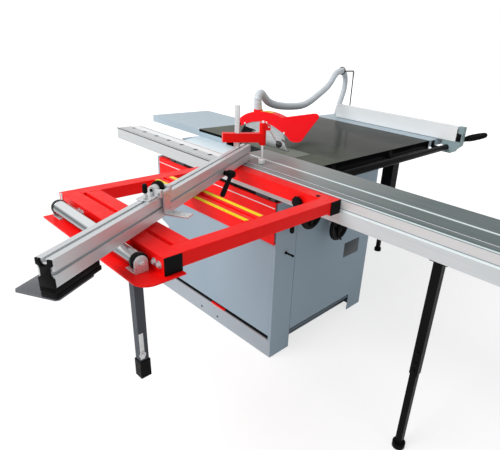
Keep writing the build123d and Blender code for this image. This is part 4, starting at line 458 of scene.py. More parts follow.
dark_plate = clouded("dark_plate", (0.045, 0.055, 0.062), 0.42,
                     (18, (0.036, 0.045, 0.052), (0.058, 0.069, 0.077)), (120, 0.34, 0.5), gloss=0.2)
pocket = facing((0.205, -0.4284, 0.395), (0, -1, 0))
bm = bmesh.new()
cut_plate(bm, [(-0.0625, -0.0365), (-0.0595, -0.0395), (0.0595, -0.0395), (0.0625, -0.0365), (0.0625, 0.0365),
               (0.0595, 0.0395), (-0.0595, 0.0395), (-0.0625, 0.0365)], 0.0010, 0.0002, pocket)
settle(bm, "pocket_plate", dark_plate, "stand")
bm = bmesh.new()
turned(bm, facing((-0.293, panel_front, 0.523), (0, -1, 0)),
       [(0, 0), (0.0075, 0), (0.0075, 0.002), (0.0042, 0.0025), (0.0042, 0.036), (0.0054, 0.037),
        (0.0054, 0.043), (0.0038, 0.045), (0, 0.045)])
turned(bm, facing((0.101, panel_front, 0.471), (0, -1, 0)),
       [(0, 0), (0.006, 0), (0.0052, 0.0022), (0.0026, 0.003), (0.0024, 0.001), (0, 0.001)], 16)
settle(bm, "latch_pin", black_steel, "stand")

# Side carrier: a bright red C beam bolted to the cabinet's left wall to hold the rail, gloss powder coat.
# A thin pale strip riveted along its side below the upper fold is a painted highlight for the fold's bright
# edge.
dress("side_carrier", red_coat, 0.0012)
rivet_and_highlight_trim = finish("rivet_and_highlight_trim", (0.72, 0.80, 0.81), 0.35, gloss=0.3)
lines = grain(rivet_and_highlight_trim, 30, (1, 0.05, 1))
feed(rivet_and_highlight_trim, "Base Color", tone_between(rivet_and_highlight_trim, lines, (0.68, 0.76, 0.77), (0.78, 0.86, 0.87)))
roughness_between(rivet_and_highlight_trim, grain(rivet_and_highlight_trim, 200, (1, 0.03, 1)), 0.28, 0.42)
# Painted highlight: the pale strip stands for the bright edge of the fold.
bm = bmesh.new()
eased_block(bm, (-0.3716, -0.428, 0.7362), (-0.3705, 0.392, 0.7398), 0.0003)
for y in (-0.418, -0.018, 0.382):
    rivet = facing((-0.3715, y, 0.7380), (-1, 0, 0))
    turned(bm, rivet, [(0, 0), (0.0015, 0), (0.0011, 0.0005), (0, 0.0006)], 12)
settle(bm, "carrier_highlight_strip", rivet_and_highlight_trim, "stand")

# Rail pads, rail and its screws: drawn aluminium with fine lines and a painted highlight along its side under
# the carriage.
# A row of black socket screws holds it down, each in a painted ring of shade; dark pads carry it, and a
# bolted black strip fills the shaded gap under it as painted shade.
dress("rail_brackets", dark_plate, 0.0008)
# Painted shade: a black strip along the whole rail fills the shaded gap between rail and carrier; bolts sit
# on its side.
shade_strip_side = -0.3648
bm = bmesh.new()
eased_block(bm, (shade_strip_side, -0.428, 0.7618), (-0.2400, 0.293, 0.7762), 0.0010)
for y in (-0.390, -0.180, 0.050, 0.260):
    hex_bolt(bm, facing((shade_strip_side, y, 0.7690), (-1, 0, 0)), 0.007)
settle(bm, "rail_shade_strip", black_steel, "stand")


def drawn_metal(name, dark, light, metal, turn=0.0, stretch=(1, 0.02, 1)):
    """Drawn aluminium: streaks of colour, gloss and relief along the profile."""
    mat = finish(name, light, 0.36, metal=metal, gloss=0.2)
    feed(mat, "Base Color", tone_between(mat, grain(mat, 220, stretch, turn), dark, light))
    roughness_between(mat, grain(mat, 150, stretch, turn), 0.30, 0.44)
    relief(mat, grain(mat, 900, stretch, turn), 0.00002)
    return mat


rail_alu = drawn_metal("rail_aluminium", (0.52, 0.545, 0.555), (0.62, 0.645, 0.655), 0.15)
streaks = tone_of(rail_alu)
# Painted highlight: a bright band along the rail's side just under the carriage.
painted(rail_alu, zone(rail_alu, Z=(0.8245, 0.8328)), (0.80, 0.88, 0.89))
open_part = zone(rail_alu, Z=(0.8200, 0.8340), Y=(-0.084, 0.900))
painted(rail_alu, open_part, streaks)
# Painted shade: a dark line along the rail's outer top edge where the carriage leaves it open.
edge_shade_line = zone(rail_alu, Z=(0.8292, 0.8340), X=(-0.3700, -0.3632))
painted(rail_alu, both_of(rail_alu, edge_shade_line, open_part), (0.055, 0.050, 0.040))
# Painted highlight: the inner part of the rail's top is painted near white.
top_highlight = zone(rail_alu, Z=(0.8322, 0.8340), X=(-0.2870, -0.2200))
painted(rail_alu, top_highlight, (0.92, 0.93, 0.94))
# Painted shade: a dark ring round each screw, repeated at the screw pitch.
low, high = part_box("rail_screws")
screw_r = (high[0] - low[0]) / 2
screw_pitch, sink_shade_r = 0.113, 0.0115
from_first = (-(low[0] + screw_r), screw_pitch / 2 - low[1] - screw_r, 0)
place = rail_alu.node_tree.nodes["place"].outputs["Object"]
spot = add(rail_alu, "VectorMath", {"operation": "ADD"}, i0=place, i1=from_first)
spot = add(rail_alu, "SeparateXYZ", Vector=spot.outputs[0])
lane = maths(rail_alu, "FLOORED_MODULO", spot.outputs[1], screw_pitch)
lane = maths(rail_alu, "SUBTRACT", lane, screw_pitch / 2)
spot = add(rail_alu, "CombineXYZ", X=spot.outputs[0], Y=lane)
reach = add(rail_alu, "VectorMath", {"operation": "LENGTH"}, i0=spot.outputs[0])
painted(rail_alu, maths(rail_alu, "LESS_THAN", reach.outputs["Value"], sink_shade_r), (0.012, 0.012, 0.013))
dress("slide_rail", rail_alu, 0.0008)
screws = round((high[1] - low[1] - 2 * screw_r) / screw_pitch) + 1
bm = bmesh.new()
for k in range(screws):
    screw = Matrix.Translation((low[0] + screw_r, low[1] + screw_r + k * screw_pitch, high[2]))
    turned(bm, screw, [(0, -0.008), (screw_r, -0.008), (screw_r, -0.0006), (screw_r - 0.0006, 0), (0.0034, 0),
                       (0.0032, -0.003), (0, -0.0035)], 12)
heads = settle(bm, "rail_socket_screws", black_steel, "stand")
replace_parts(heads, "rail_screws")

# Support legs: black painted square tubes under rail and extension, each with a lower tube and a round foot.
# Three hexagon screws clamp the lower tube of the front leg.
black_coat = clouded("black_coat", black, 0.36, (5, black_dark, black_light), (40, 0.30, 0.44),
                     (600, 0.00006), gloss=0.03)
dress("support_legs", black_coat, 0.0012)
dress("leg_feet", black_coat, 0.0010)
bm = bmesh.new()
for z in (0.437, 0.390, 0.360):
    hex_bolt(bm, facing((-0.362, -1.107, z), (-1, 0, 0)), 0.010)
settle(bm, "leg_screws", black_steel, "stand")

# Cast table: grey iron with a ground top, painted lighter on its left and darker to the right as a painted
# reflection; its sides are painted black.
# Under its left rim a pale blue coat shows; a dark saw insert and an aluminium ring drop into its openings.
cast_iron = finish("ground_cast_iron", (0.018, 0.019, 0.015), 0.12, gloss=0.012)
reflection_fade_from, reflection_fade_to = 0.02, 0.34
# Painted reflection: the top is lighter at its left and fades to dark towards the right.
reflection_fade = graded(cast_iron, place_along(cast_iron, "X"), reflection_fade_from, reflection_fade_to)
feed(cast_iron, "Base Color", tone_between(cast_iron, reflection_fade, (0.120, 0.140, 0.100), (0.022, 0.023, 0.018)))
painted(cast_iron, grain(cast_iron, 7, detail=2.0), (0.026, 0.027, 0.021))
painted(cast_iron, zone(cast_iron, Z=(0.600, 0.8692)), (0.005, 0.005, 0.0055))
left_rim = zone(cast_iron, Z=(0.600, 0.857), X=(-0.105, -0.0978))
painted(cast_iron, left_rim, (0.42, 0.52, 0.58))
roughness_between(cast_iron, grain(cast_iron, 5), 0.10, 0.22)
relief(cast_iron, grain(cast_iron, 700, (0.02, 1, 1)), 0.000004)
dress("cast_table", cast_iron, 0.0010)
insert_alu = drawn_metal("insert_metal", (0.31, 0.315, 0.335), (0.39, 0.395, 0.42), 0.0)
painted(insert_alu, zone(insert_alu, X=(-0.110, 0.040)), (0.110, 0.126, 0.094))
dress("table_inserts", insert_alu, 0.0005)

# Outfeed and extension plates: folded sheet in pale blue grey with soft bends, bolted flush to the table.
# A thin cover sheet lies between table and rail and keeps the dust out; its near white coat is a much lighter
# copy of the plate coat, as painted light.
plate_coat = clouded("plate_coat", (0.46, 0.56, 0.63), 0.38, (2.5, (0.43, 0.53, 0.60), (0.48, 0.58, 0.65)),
                     (25, 0.32, 0.44), (650, 0.00005), gloss=0.15)
cover_painted_light_coat = clouded("cover_painted_light_coat", (0.72, 0.83, 0.90), 0.42, (3, (0.69, 0.81, 0.88), (0.75, 0.86, 0.92)),
                     (30, 0.36, 0.48), gloss=0.15)
dress("outfeed_plate", plate_coat, 0.0020)
dress("extension_plate", plate_coat, 0.0020)
bm = bmesh.new()
cut_plate(bm, [(-0.2255, -0.400), (-0.1002, -0.400), (-0.1002, 0.4285), (-0.2255, 0.380)], 0.0009, 0.0002,
          Matrix.Translation((0, 0, 0.8321)))
settle(bm, "cover_sheet", cover_painted_light_coat, "stand")

# Fence bar and hose rod: a black round bar on brackets at the table's front with a flat strip screwed on
# behind it, and a thin bent rod with a ring that lifts the hose clear of the work.
strip_front = -0.4345
dress("fence_bar", black_coat, 0.0008)
dress("hose_rod", black_coat)
bm = bmesh.new()
eased_block(bm, (-0.095, strip_front, 0.814), (0.866, -0.4296, 0.833), 0.0008)
for x in (-0.060, 0.160, 0.390, 0.620, 0.835):
    turned(bm, facing((x, strip_front, 0.8235), (0, -1, 0)),
           [(0, -0.001), (0.0060, -0.001), (0.0054, 0.0009), (0.0028, 0.0012), (0.0026, 0.0002),
            (0, 0.0002)], 16)
settle(bm, "table_front_strip", black_coat, "stand")

# Dust port and trunnions: a moulded black spigot on the back wall with a side branch for the hose, held by a
# worm-drive clip, and the two cast arcs under the table on which the saw tilts.
black_plastic = clouded("black_plastic", black, 0.44, (12, black_dark, black_light), (80, 0.36, 0.52),
                        (1200, 0.00005), gloss=0.04)
zinc = clouded("zinc_plate", (0.62, 0.63, 0.64), 0.34, (40, (0.52, 0.53, 0.545), (0.66, 0.665, 0.675)),
               (90, 0.24, 0.40), metal=0.55, gloss=0.3)
dress("dust_port", black_plastic, 0.0008)
dress("trunnion_guides", black_coat, 0.0008)
clip = facing((0.166, 0.470, 0.480), (1, 0, 0))
clip_screw = clip @ facing((0.007, 0.0235, 0), (1, 0, 0))
bm = bmesh.new()
turned(bm, clip, [(0.0191, -0.005), (0.0199, -0.0055), (0.0199, 0.0055), (0.0191, 0.005)], 40, closed=True)
eased_block(bm, (-0.007, 0.0195, -0.006), (0.007, 0.0275, 0.006), 0.0012, clip)
turned(bm, clip_screw, [(0, 0), (0.0038, 0), (0.0038, 0.005), (0, 0.005)], 6)
settle(bm, "hose_clip", zinc, "stand")

# Switch box: a moulded black case on the front panel with a green and a red push button.
# Each button sits in a raised collar, and four sunk screws hold the lid.
lid_front = -0.460
dress("switch_box", black_plastic, 0.003, 3)
green = clouded("green_button", (0.02, 0.30, 0.06), 0.3, (60, (0.015, 0.26, 0.05), (0.025, 0.34, 0.07)),
                (200, 0.26, 0.36))
red_cap = clouded("red_button", (0.62, 0.02, 0.02), 0.3, (60, (0.56, 0.015, 0.015), (0.66, 0.025, 0.025)),
                  (200, 0.26, 0.36))
dress("start_button", green, 0.0012)
dress("stop_button", red_cap, 0.0012)
bm = bmesh.new()
for x in (0.163, 0.243):
    turned(bm, facing((x, lid_front, 0.660), (0, -1, 0)),
           [(0.0146, 0), (0.0185, 0), (0.0178, 0.003), (0.0152, 0.0035)], 32, closed=True)
settle(bm, "button_collars", black_plastic, "stand")
bm = bmesh.new()
for x in (0.133, 0.273):
    for z in (0.610, 0.710):
        turned(bm, facing((x, lid_front, z), (0, -1, 0)),
               [(0, 0), (0.0040, 0), (0.0034, 0.0012), (0.0016, 0.0014), (0.0015, 0.0004), (0, 0.0004)], 14)
settle(bm, "lid_screws", zinc, "stand")

# Handwheels: black moulded wheels with a thick rim, arms and a turning grip, pinned on steel shafts.
# The left one tilts the saw and the lower one lifts it; a dished web closes the wheel between its arms.
wheel_front, rim_r, rim_half, grip_r, grip_turn = -0.490, 0.0555, 0.0095, 0.056, radians(75)
for name, body, x, z in (("tilt_wheel", "tilt_hand", -0.217, 0.698),
                         ("rise_wheel", "rise_hand", -0.012, 0.588)):
    wheel = facing((x, wheel_front, z), (0, -1, 0))
    bm = bmesh.new()
    part = bmesh.new()
    bmesh.ops.create_circle(part, segments=14, radius=rim_half,
                            matrix=Matrix.Translation((rim_r, 0, 0)) @ Matrix.Rotation(pi / 2, 4, "X"))
    bmesh.ops.spin(part, geom=part.verts[:] + part.edges[:], cent=(0, 0, 0), axis=(0, 0, 1), angle=2 * pi,
                   steps=56, use_merge=True)
    bmesh.ops.remove_doubles(part, verts=part.verts, dist=0.000001)
    joined(bm, part, wheel)
    turned(bm, wheel, [(0, -0.017), (0.0165, -0.017), (0.0185, -0.010), (0.0185, 0.009), (0.0150, 0.014),
                       (0.0120, 0.017), (0.0085, 0.017), (0.0080, 0.014), (0, 0.014)], 32)
    turned(bm, wheel, [(0.015, -0.010), (0.034, -0.008), (0.050, -0.003), (0.050, 0.002), (0.044, 0.001),
                       (0.042, -0.001), (0.034, -0.002), (0.032, -0.004), (0.015, -0.005)], 56, closed=True)
    for angle in (30, 150, 270):
        arm = wheel @ Matrix.Rotation(radians(angle), 4, "Z")
        eased_block(bm, (0.012, -0.0065, -0.0050), (0.050, 0.0065, 0.0045), 0.0025, arm)
    grip = wheel @ Matrix.Translation((grip_r * cos(grip_turn), grip_r * sin(grip_turn), 0))
    turned(bm, grip, [(0, 0.004), (0.0055, 0.004), (0.0055, 0.0105), (0.0088, 0.0115), (0.0109, 0.021),
                      (0.0106, 0.031), (0.0085, 0.038), (0.004, 0.040), (0, 0.040)])
    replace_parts(settle(bm, name + "_moulding", black_plastic, body), name)
    bm = bmesh.new()
    turned(bm, wheel, [(0, -0.100), (0.0062, -0.100), (0.0070, -0.099), (0.0070, -0.016), (0, -0.016)])
    settle(bm, name + "_shaft", zinc, body)

# Tilt lock: a short black hanging lever on a steel shaft beside the corner post.
# Moulded plastic, thicker towards its lower end.
pivot = Vector((-0.302, -0.464, 0.686))
bm = bmesh.new()
turned(bm, facing(pivot + Vector((0, 0, 0.010)), (0, 0, -1)),
       [(0, 0), (0.0065, 0.002), (0.0090, 0.008), (0.0085, 0.016), (0.0080, 0.024), (0.0092, 0.044),
        (0.0100, 0.056), (0.0088, 0.064), (0.0050, 0.068), (0, 0.068)])
turned(bm, facing(pivot, (0, 1, 0)), [(0, -0.010), (0.0080, -0.009), (0.0090, -0.004), (0.0070, 0.002),
                                      (0.0070, 0.053), (0.0062, 0.054), (0, 0.054)])
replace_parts(settle(bm, "tilt_lock_lever", black_plastic, "tilt_lock"), "lock_lever")

# Saw unit: welded tilting frame and lifting arm painted black, a grey motor, belt cover, bright steel arbor
# and toothed blade, and a blackened riving knife; the moulder's cast quill and spindle stand beside it.
for name in ("saw_frame", "saw_carriage", "belt_cover"):
    dress(name, black_coat, 0.0008)
dress("saw_motor", grey_coat, 0.0008)
bright_steel = finish("bright_steel", (0.56, 0.57, 0.58), 0.26, metal=0.9)
steel_tone = tone_between(bright_steel, grain(bright_steel, 30), (0.50, 0.51, 0.52), (0.62, 0.63, 0.64))
feed(bright_steel, "Base Color", steel_tone)
roughness_between(bright_steel, grain(bright_steel, 300, (1, 0.05, 1)), 0.20, 0.34)
for name in ("saw_arbor", "saw_blade", "spindle_shaft"):
    dress(name, bright_steel)
dress("riving_knife", black_steel)
dress("spindle_quill", black_coat)

# Guard: a bright red moulded hood over the blade with clear side panes riveted in, and a hose collar on top.
# A plain yellow patch lies on its crown, and a black bolt holds it to the riving knife.
guard_left, guard_right = -0.062, -0.016
guard_coat = clouded("guard_red", (0.93, 0.005, 0.010), 0.34, (4, (0.89, 0.005, 0.010), (0.98, 0.007, 0.014)),
                     (40, 0.28, 0.40), gloss=0.08)
relief(guard_coat, grain(guard_coat, 500, detail=1.0), 0.00002)
nearly_level, half_turned = 0.8, 0.5
crown = maths(guard_coat, "GREATER_THAN", place_along(guard_coat, "Z", "Normal"), nearly_level)
patch = zone(guard_coat, Y=(-0.060, 0.012), X=(-0.056, -0.022))
painted(guard_coat, both_of(guard_coat, patch, crown), (0.86, 0.66, 0.02))
dress("guard_body", guard_coat, 0.0010)
clear = finish("clear_pane", (0.80, 0.84, 0.86), 0.18)
# Painted highlight: the panes' narrow edges are near white; their broad faces are tinted and partly clear.
across = maths(clear, "ABSOLUTE", place_along(clear, "X", "Normal"))
broad = maths(clear, "GREATER_THAN", across, half_turned)
pane = tone_between(clear, grain(clear, 30), (0.76, 0.80, 0.82), (0.86, 0.90, 0.92))
feed(clear, "Base Color", tone_between(clear, broad, (0.95, 0.94, 0.90), pane))
feed(clear, "Transmission Weight", maths(clear, "MULTIPLY", broad, 0.6))
roughness_between(clear, grain(clear, 50), 0.12, 0.26)
dress("guard_windows", clear)
bm = bmesh.new()
for y, z in ((0.106, 0.952), (-0.044, 0.981), (-0.160, 0.953)):
    for x, way in ((guard_left, -1), (guard_right, 1)):
        turned(bm, facing((x, y, z), (way, 0, 0)),
               [(0, -0.002), (0.0058, -0.002), (0.0056, 0.0008), (0.0040, 0.0024), (0.0018, 0.0031),
                (0, 0.0032)], 16)
settle(bm, "guard_rivets", rivet_and_highlight_trim, "guard")
bm = bmesh.new()
hex_bolt(bm, facing((guard_left, 0.147, 0.944), (-1, 0, 0)), 0.010)
settle(bm, "guard_bolt", black_steel, "guard")

# Carriage and end caps: wide anodised aluminium extrusion with a ground top, a T-slot and a fine line in it.
# Bright strips in slot and line are painted highlights; black caps close the ends.
carriage_alu = drawn_metal("carriage_aluminium", (0.56, 0.55, 0.55), (0.66, 0.65, 0.65), 0.2)
# A dark line is painted under the side's top edge, and painted shade along its bottom edge over the rail.
painted(carriage_alu, zone(carriage_alu, Z=(0.8655, 0.8680)), (0.20, 0.25, 0.28))
painted(carriage_alu, zone(carriage_alu, Z=(0.8330, 0.8362)), (0.26, 0.31, 0.34))
# Painted reflection: the top darkens towards the operator's end.
dark_until, light_from = -0.95, -0.30
carriage_reflection_fade = graded(carriage_alu, place_along(carriage_alu, "Y"), dark_until, light_from)
tread = tone_between(carriage_alu, carriage_reflection_fade, (0.065, 0.100, 0.098), (0.30, 0.31, 0.305))
fine = graded(carriage_alu, grain(carriage_alu, 180, (1, 0.02, 1)), 0.3, 0.7, 0.0, 0.3)
tread = tone_between(carriage_alu, fine, tread, (0.17, 0.20, 0.20))
# Painted highlight and shade stripes beside the top's grooves and its edge.
for start, end, painted_light_tone in ((-0.3690, -0.3615, (0.66, 0.77, 0.78)), (-0.3615, -0.3580, (0.10, 0.14, 0.16)),
                          (-0.3315, -0.3275, (0.09, 0.11, 0.14)), (-0.3275, -0.3195, (0.72, 0.74, 0.82)),
                          (-0.2408, -0.2276, (0.66, 0.78, 0.79))):
    tread = tone_between(carriage_alu, zone(carriage_alu, X=(start, end)), tread, painted_light_tone)
painted(carriage_alu, zone(carriage_alu, Z=(0.8688, 0.8710)), tread)
dress("carriage", carriage_alu, 0.0008)
dress("end_caps", black_plastic, 0.0012)
strip_start, strip_end = -1.589, -0.091
# Painted highlight: pale strips set in the slot and the line.
bm = bmesh.new()
eased_block(bm, (-0.2388, strip_start, 0.8655), (-0.2292, strip_end, 0.8696), 0.0004)
eased_block(bm, (-0.3248, strip_start, 0.8682), (-0.3212, strip_end, 0.8698), 0.0002)
settle(bm, "slot_highlight_strips", rivet_and_highlight_trim, "sliding_table")

# Outrigger: red welded frame of square tubes beside the carriage, with a slotted bar and a scale beam.
# Two yellow steel tapes lie on the scale beam; zinc bolts and small plates hold the roller on the outer tube.
for name in ("outer_beam", "inner_beam", "cross_bars", "scale_beam"):
    dress(name, red_coat, 0.0024, 3)
dress("roller_plate", red_coat, 0.0010)
tape = clouded("yellow_tape", (0.95, 0.72, 0.006), 0.42, (25, (0.91, 0.68, 0.005), (0.98, 0.77, 0.010)),
               (60, 0.36, 0.5), gloss=0.15)
ticks = []
for spacing, share, inner in ((0.010, 0.08, -0.7465), (0.050, 0.020, -0.7430)):
    part_of = maths(tape, "FRACT", maths(tape, "DIVIDE", place_along(tape, "Y"), spacing))
    tick = maths(tape, "COMPARE", part_of, 0.5, share)
    ticks.append(both_of(tape, tick, zone(tape, X=(-0.7510, inner))))
painted(tape, maths(tape, "MAXIMUM", *ticks), (0.20, 0.15, 0.01))
bm = bmesh.new()
for x in (-0.7500, -0.6930):
    eased_block(bm, (x, -0.676, 0.8658), (x + 0.0150, -0.201, 0.8664), 0.0002)
settle(bm, "scale_tapes", tape, "sliding_table")
beam_side = -1.051
bm = bmesh.new()
for y, z in ((-0.689, 0.842), (-0.711, 0.842), (-0.285, 0.846), (-0.305, 0.846)):
    hex_bolt(bm, facing((beam_side, y, z), (-1, 0, 0)), 0.0105)
eased_block(bm, (-1.0530, -0.268, 0.836), (-1.0505, -0.160, 0.846), 0.0006)
eased_block(bm, (-1.0530, -0.172, 0.836), (-1.0505, -0.160, 0.868), 0.0006)
eased_block(bm, (-1.0535, -0.650, 0.820), (-1.0505, -0.585, 0.830), 0.0006)
settle(bm, "beam_bolts", zinc, "sliding_table")
bm = bmesh.new()
turned(bm, facing((-0.404, -0.661, 0.866), (0, 0, 1)),
       [(0, -0.001), (0.0085, -0.001), (0.0082, 0.001), (0.0060, 0.0022), (0.0030, 0.0024), (0.0028, 0.0006),
        (0, 0.0006)], 20)
settle(bm, "beam_top_screw", black_steel, "sliding_table")

# Clamp knob: a black lobed knob on a steel stem in the inner beam that locks the frame to the carriage.
# A turned blank with nine rounded lobes.
lobes = 9
low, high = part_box("clamp_knob")
knob = facing((-0.4183, (low[1] + high[1]) / 2, (low[2] + high[2]) / 2), (-1, 0, 0))
bm = bmesh.new()
turned(bm, knob, [(0, 0), (0.0120, 0), (0.0130, 0.004), (0.0190, 0.006), (0.0205, 0.009), (0.0205, 0.015),
                  (0.0180, 0.019), (0.0100, 0.020), (0, 0.020)], 36)
for k in range(lobes):
    lobe = knob @ Matrix.Rotation(k * 2 * pi / lobes, 4, "Z") @ Matrix.Translation((0.0175, 0, 0))
    turned(bm, lobe, [(0, 0.005), (0.0035, 0.006), (0.0045, 0.009), (0.0045, 0.015), (0.0030, 0.018),
                      (0, 0.019)], 12)
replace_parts(settle(bm, "frame_clamp_knob", black_plastic, "frame_knob"), "clamp_knob")
bm = bmesh.new()
turned(bm, knob, [(0, -0.044), (0.0042, -0.044), (0.0050, -0.043), (0.0050, 0.001), (0, 0.001)])
settle(bm, "knob_stem", zinc, "frame_knob")

# Support roller: bright steel tube between two zinc ears on the red plate, a black rubber ring at each end.
# Nuts hold the axle in the ears.
dress("roller_brackets", zinc, 0.0008)
roller_steel = finish("roller_steel", (0.62, 0.63, 0.64), 0.24, gloss=0.1)
# Painted reflection: dark and light streaks run along the tube's length.
reflection_streaks = graded(roller_steel, grain(roller_steel, 42, (1, 0.01, 1), detail=1.0), 0.40, 0.60)
streaked_reflection = tone_between(roller_steel, reflection_streaks, (0.16, 0.18, 0.19), (0.74, 0.76, 0.77))
middle = zone(roller_steel, Y=(-0.66295, -0.22705))
feed(roller_steel, "Base Color", tone_between(roller_steel, middle, black, streaked_reflection))
feed(roller_steel, "Metallic", middle)
roughness_between(roller_steel, grain(roller_steel, 8), 0.10, 0.16)
dress("support_roller", roller_steel, 0.0008)
bm = bmesh.new()
for y, way in ((-0.6816, -1), (-0.2084, 1)):
    hex_bolt(bm, facing((-1.081, y, 0.845), (0, way, 0)), 0.012)
settle(bm, "axle_nuts", zinc, "sliding_table")

# Prop: a square gunmetal tube under the outer beam with a telescopic inner tube and a black foot.
# A zinc clamp strip with a hexagon screw sits on its front face, and a bolted lug holds its top.
gunmetal = clouded("gunmetal_coat", (0.055, 0.062, 0.075), 0.42,
                   (8, (0.046, 0.053, 0.066), (0.066, 0.075, 0.090)), (50, 0.36, 0.5), (600, 0.00005),
                   gloss=0.12)
dress("prop_leg", gunmetal, 0.0012)
dress("prop_foot", black_plastic, 0.0010)
clamp_front, lug_side = -0.5495, -1.0405
bm = bmesh.new()
eased_block(bm, (-1.0372, clamp_front, 0.448), (-1.0235, -0.5475, 0.540), 0.0006)
hex_bolt(bm, facing((-1.0305, clamp_front, 0.464), (0, -1, 0)), 0.011)
settle(bm, "prop_clamp", zinc, "sliding_table")
bm = bmesh.new()
eased_block(bm, (lug_side, -0.545, 0.786), (-1.0375, -0.523, 0.8125), 0.0008)
hex_bolt(bm, facing((lug_side, -0.534, 0.799), (-1, 0, 0)), 0.009)
settle(bm, "prop_lug", black_steel, "sliding_table")

# Mitre fence: a long slotted aluminium profile turned across the carriage.
# A black moulded cap with cut-outs closes its outer end over a stepped foot block and a flat steel shoe.
fence_turn, fence_outer = 28.0, -1.079
fence_place = Matrix.Translation((-0.343, -0.199, 0.870)) @ Matrix.Rotation(radians(fence_turn), 4, "Z")
fence_alu = drawn_metal("fence_aluminium", (0.54, 0.56, 0.575), (0.66, 0.68, 0.695), 0.45, fence_turn,
                        (0.02, 1, 1))
dress("crosscut_fence", fence_alu, 0.0008)
end_face = (fence_place @ Matrix.Translation((fence_outer, 0, 0))
            @ Matrix(((0, 0, 1, 0), (1, 0, 0, 0), (0, 1, 0, 0), (0, 0, 0, 1))))
flank = [(0.019, 0.066), (0.019, 0.052), (0.013, 0.049), (0.0115, 0.044), (0.0115, 0.030), (0.013, 0.026),
         (0.019, 0.023), (0.019, -0.010)]
notch = [(0.0060, 0.050), (0.0060, 0.056), (0.0085, 0.058), (0.0085, 0.066)]
half_outline = notch + flank
bm = bmesh.new()
cut_plate(bm, half_outline + [(-y, z) for y, z in reversed(half_outline)], 0.0040, 0.0006, end_face)
eased_block(bm, (fence_outer, -0.0190, -0.0100), (-0.9440, 0.0190, 0.0038), 0.0012, fence_place)
eased_block(bm, (-1.0785, -0.0175, -0.0125), (-0.9460, 0.0175, -0.0095), 0.0004, fence_place)
eased_block(bm, (fence_outer, -0.0190, -0.0230), (-0.9400, 0.0190, -0.0120), 0.0012, fence_place)
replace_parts(settle(bm, "fence_end_cap", black_plastic, "mitre_fence"), "fence_end")
shoe_steel = clouded("shoe_steel", (0.10, 0.105, 0.118), 0.30,
                     (14, (0.080, 0.085, 0.096), (0.135, 0.140, 0.155)), (120, 0.24, 0.40), (900, 0.00002),
                     metal=0.55)
bm = bmesh.new()
cut_plate(bm, [(fence_outer, -0.013), (-1.073, -0.019), (-0.968, -0.019), (-0.962, -0.013), (-0.962, 0.084),
               (-0.968, 0.090), (-1.071, 0.090), (fence_outer, 0.082)], 0.0038, 0.0008,
          fence_place @ Matrix.Translation((0, 0, -0.0270)))
settle(bm, "fence_shoe", shoe_steel, "mitre_fence")

# Flip stop: a zinc slide on the fence's top slot with a lying barrel, a black knurled ring and an upright
# knob; the hinged zinc arm hangs in front of the fence with its foot towards the operator.
bm = bmesh.new()
eased_block(bm, (-0.7260, -0.0140, 0.0664), (-0.6280, 0.0240, 0.0712), 0.0008, fence_place)
eased_block(bm, (-0.6880, -0.0036, 0.0600), (-0.6280, 0.0036, 0.0680), 0.0004, fence_place)
eased_block(bm, (-0.6880, -0.0270, 0.0664), (-0.6756, -0.0060, 0.0890), 0.0020, fence_place)
eased_block(bm, (-0.6404, -0.0270, 0.0664), (-0.6280, -0.0060, 0.0890), 0.0020, fence_place)
eased_block(bm, (-0.6700, -0.0060, 0.0700), (-0.6290, 0.0150, 0.0780), 0.0010, fence_place)
barrel = fence_place @ facing((-0.628, 0.0060, 0.0822), (-1, 0, 0))
turned(bm, barrel, [(0, 0), (0.0110, 0), (0.0118, 0.001), (0.0118, 0.050), (0.0108, 0.052), (0.0052, 0.052),
                    (0.0050, 0.047), (0, 0.047)], 28)
turned(bm, fence_place @ facing((-0.688, -0.023, 0.078), (1, 0, 0)),
       [(0, 0), (0.004, 0), (0.004, 0.060), (0, 0.060)], 16)
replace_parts(settle(bm, "stop_slide", zinc, "stop_slider"), "stop_block")
knurls = 24
upright = fence_place @ facing((-0.700, 0.012, 0.0712), (0, 0, 1))
bm = bmesh.new()
turned(bm, barrel, [(0.0119, 0.008), (0.0160, 0.008), (0.0168, 0.010), (0.0168, 0.026), (0.0160, 0.028),
                    (0.0119, 0.028)], 36, closed=True)
for k in range(knurls):
    knurl = barrel @ Matrix.Rotation(k * 2 * pi / knurls, 4, "Z")
    eased_block(bm, (0.0160, -0.0010, 0.0105), (0.0176, 0.0010, 0.0255), 0.0005, knurl)
turned(bm, barrel, [(0, 0.0470), (0.0048, 0.0470), (0.0048, 0.0490), (0, 0.0490)], 6)
turned(bm, upright, [(0, 0.009), (0.0052, 0.009), (0.0066, 0.012), (0.0070, 0.026), (0.0064, 0.032),
                     (0.0040, 0.035), (0, 0.035)], 20)
settle(bm, "stop_knobs", black_plastic, "stop_slider")
bm = bmesh.new()
turned(bm, upright, [(0, -0.001), (0.0060, -0.001), (0.0060, 0.002), (0.0034, 0.003), (0.0034, 0.010),
                     (0, 0.010)], 16)
settle(bm, "stop_knob_stem", zinc, "stop_slider")
dress("stop_arm", zinc, 0.0008)

# Fence lock: a black moulded clamping lever on the fence's front, a round boss with a tapered handle.
# It pulls the fence tight on its slot block.
lean = radians(56)
bm = bmesh.new()
turned(bm, fence_place @ facing((-0.236, -0.0193, 0.0175), (0, -1, 0)),
       [(0, 0), (0.0095, 0), (0.0095, 0.012), (0.0135, 0.014), (0.0140, 0.024), (0.0135, 0.036),
        (0.0100, 0.041), (0, 0.042)])
turned(bm, fence_place @ facing((-0.236, -0.047, 0.0175), (-sin(lean), 0, -cos(lean))),
       [(0, 0), (0.0085, 0.002), (0.0078, 0.022), (0.0086, 0.060), (0.0096, 0.088), (0.0090, 0.100),
        (0.0055, 0.107), (0, 0.108)])
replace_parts(settle(bm, "fence_lock_lever", black_plastic, "mitre_lock"), "fence_lever")

# Hold-down: a bright post on the fence carries a red cast arm; a plunger with a white pad slides in its
# sleeve, and a thin steel lever with a black ball works it.
dress("clamp_post", zinc, 0.0006)
dress("clamp_arm", red_coat, 0.0018, 3)


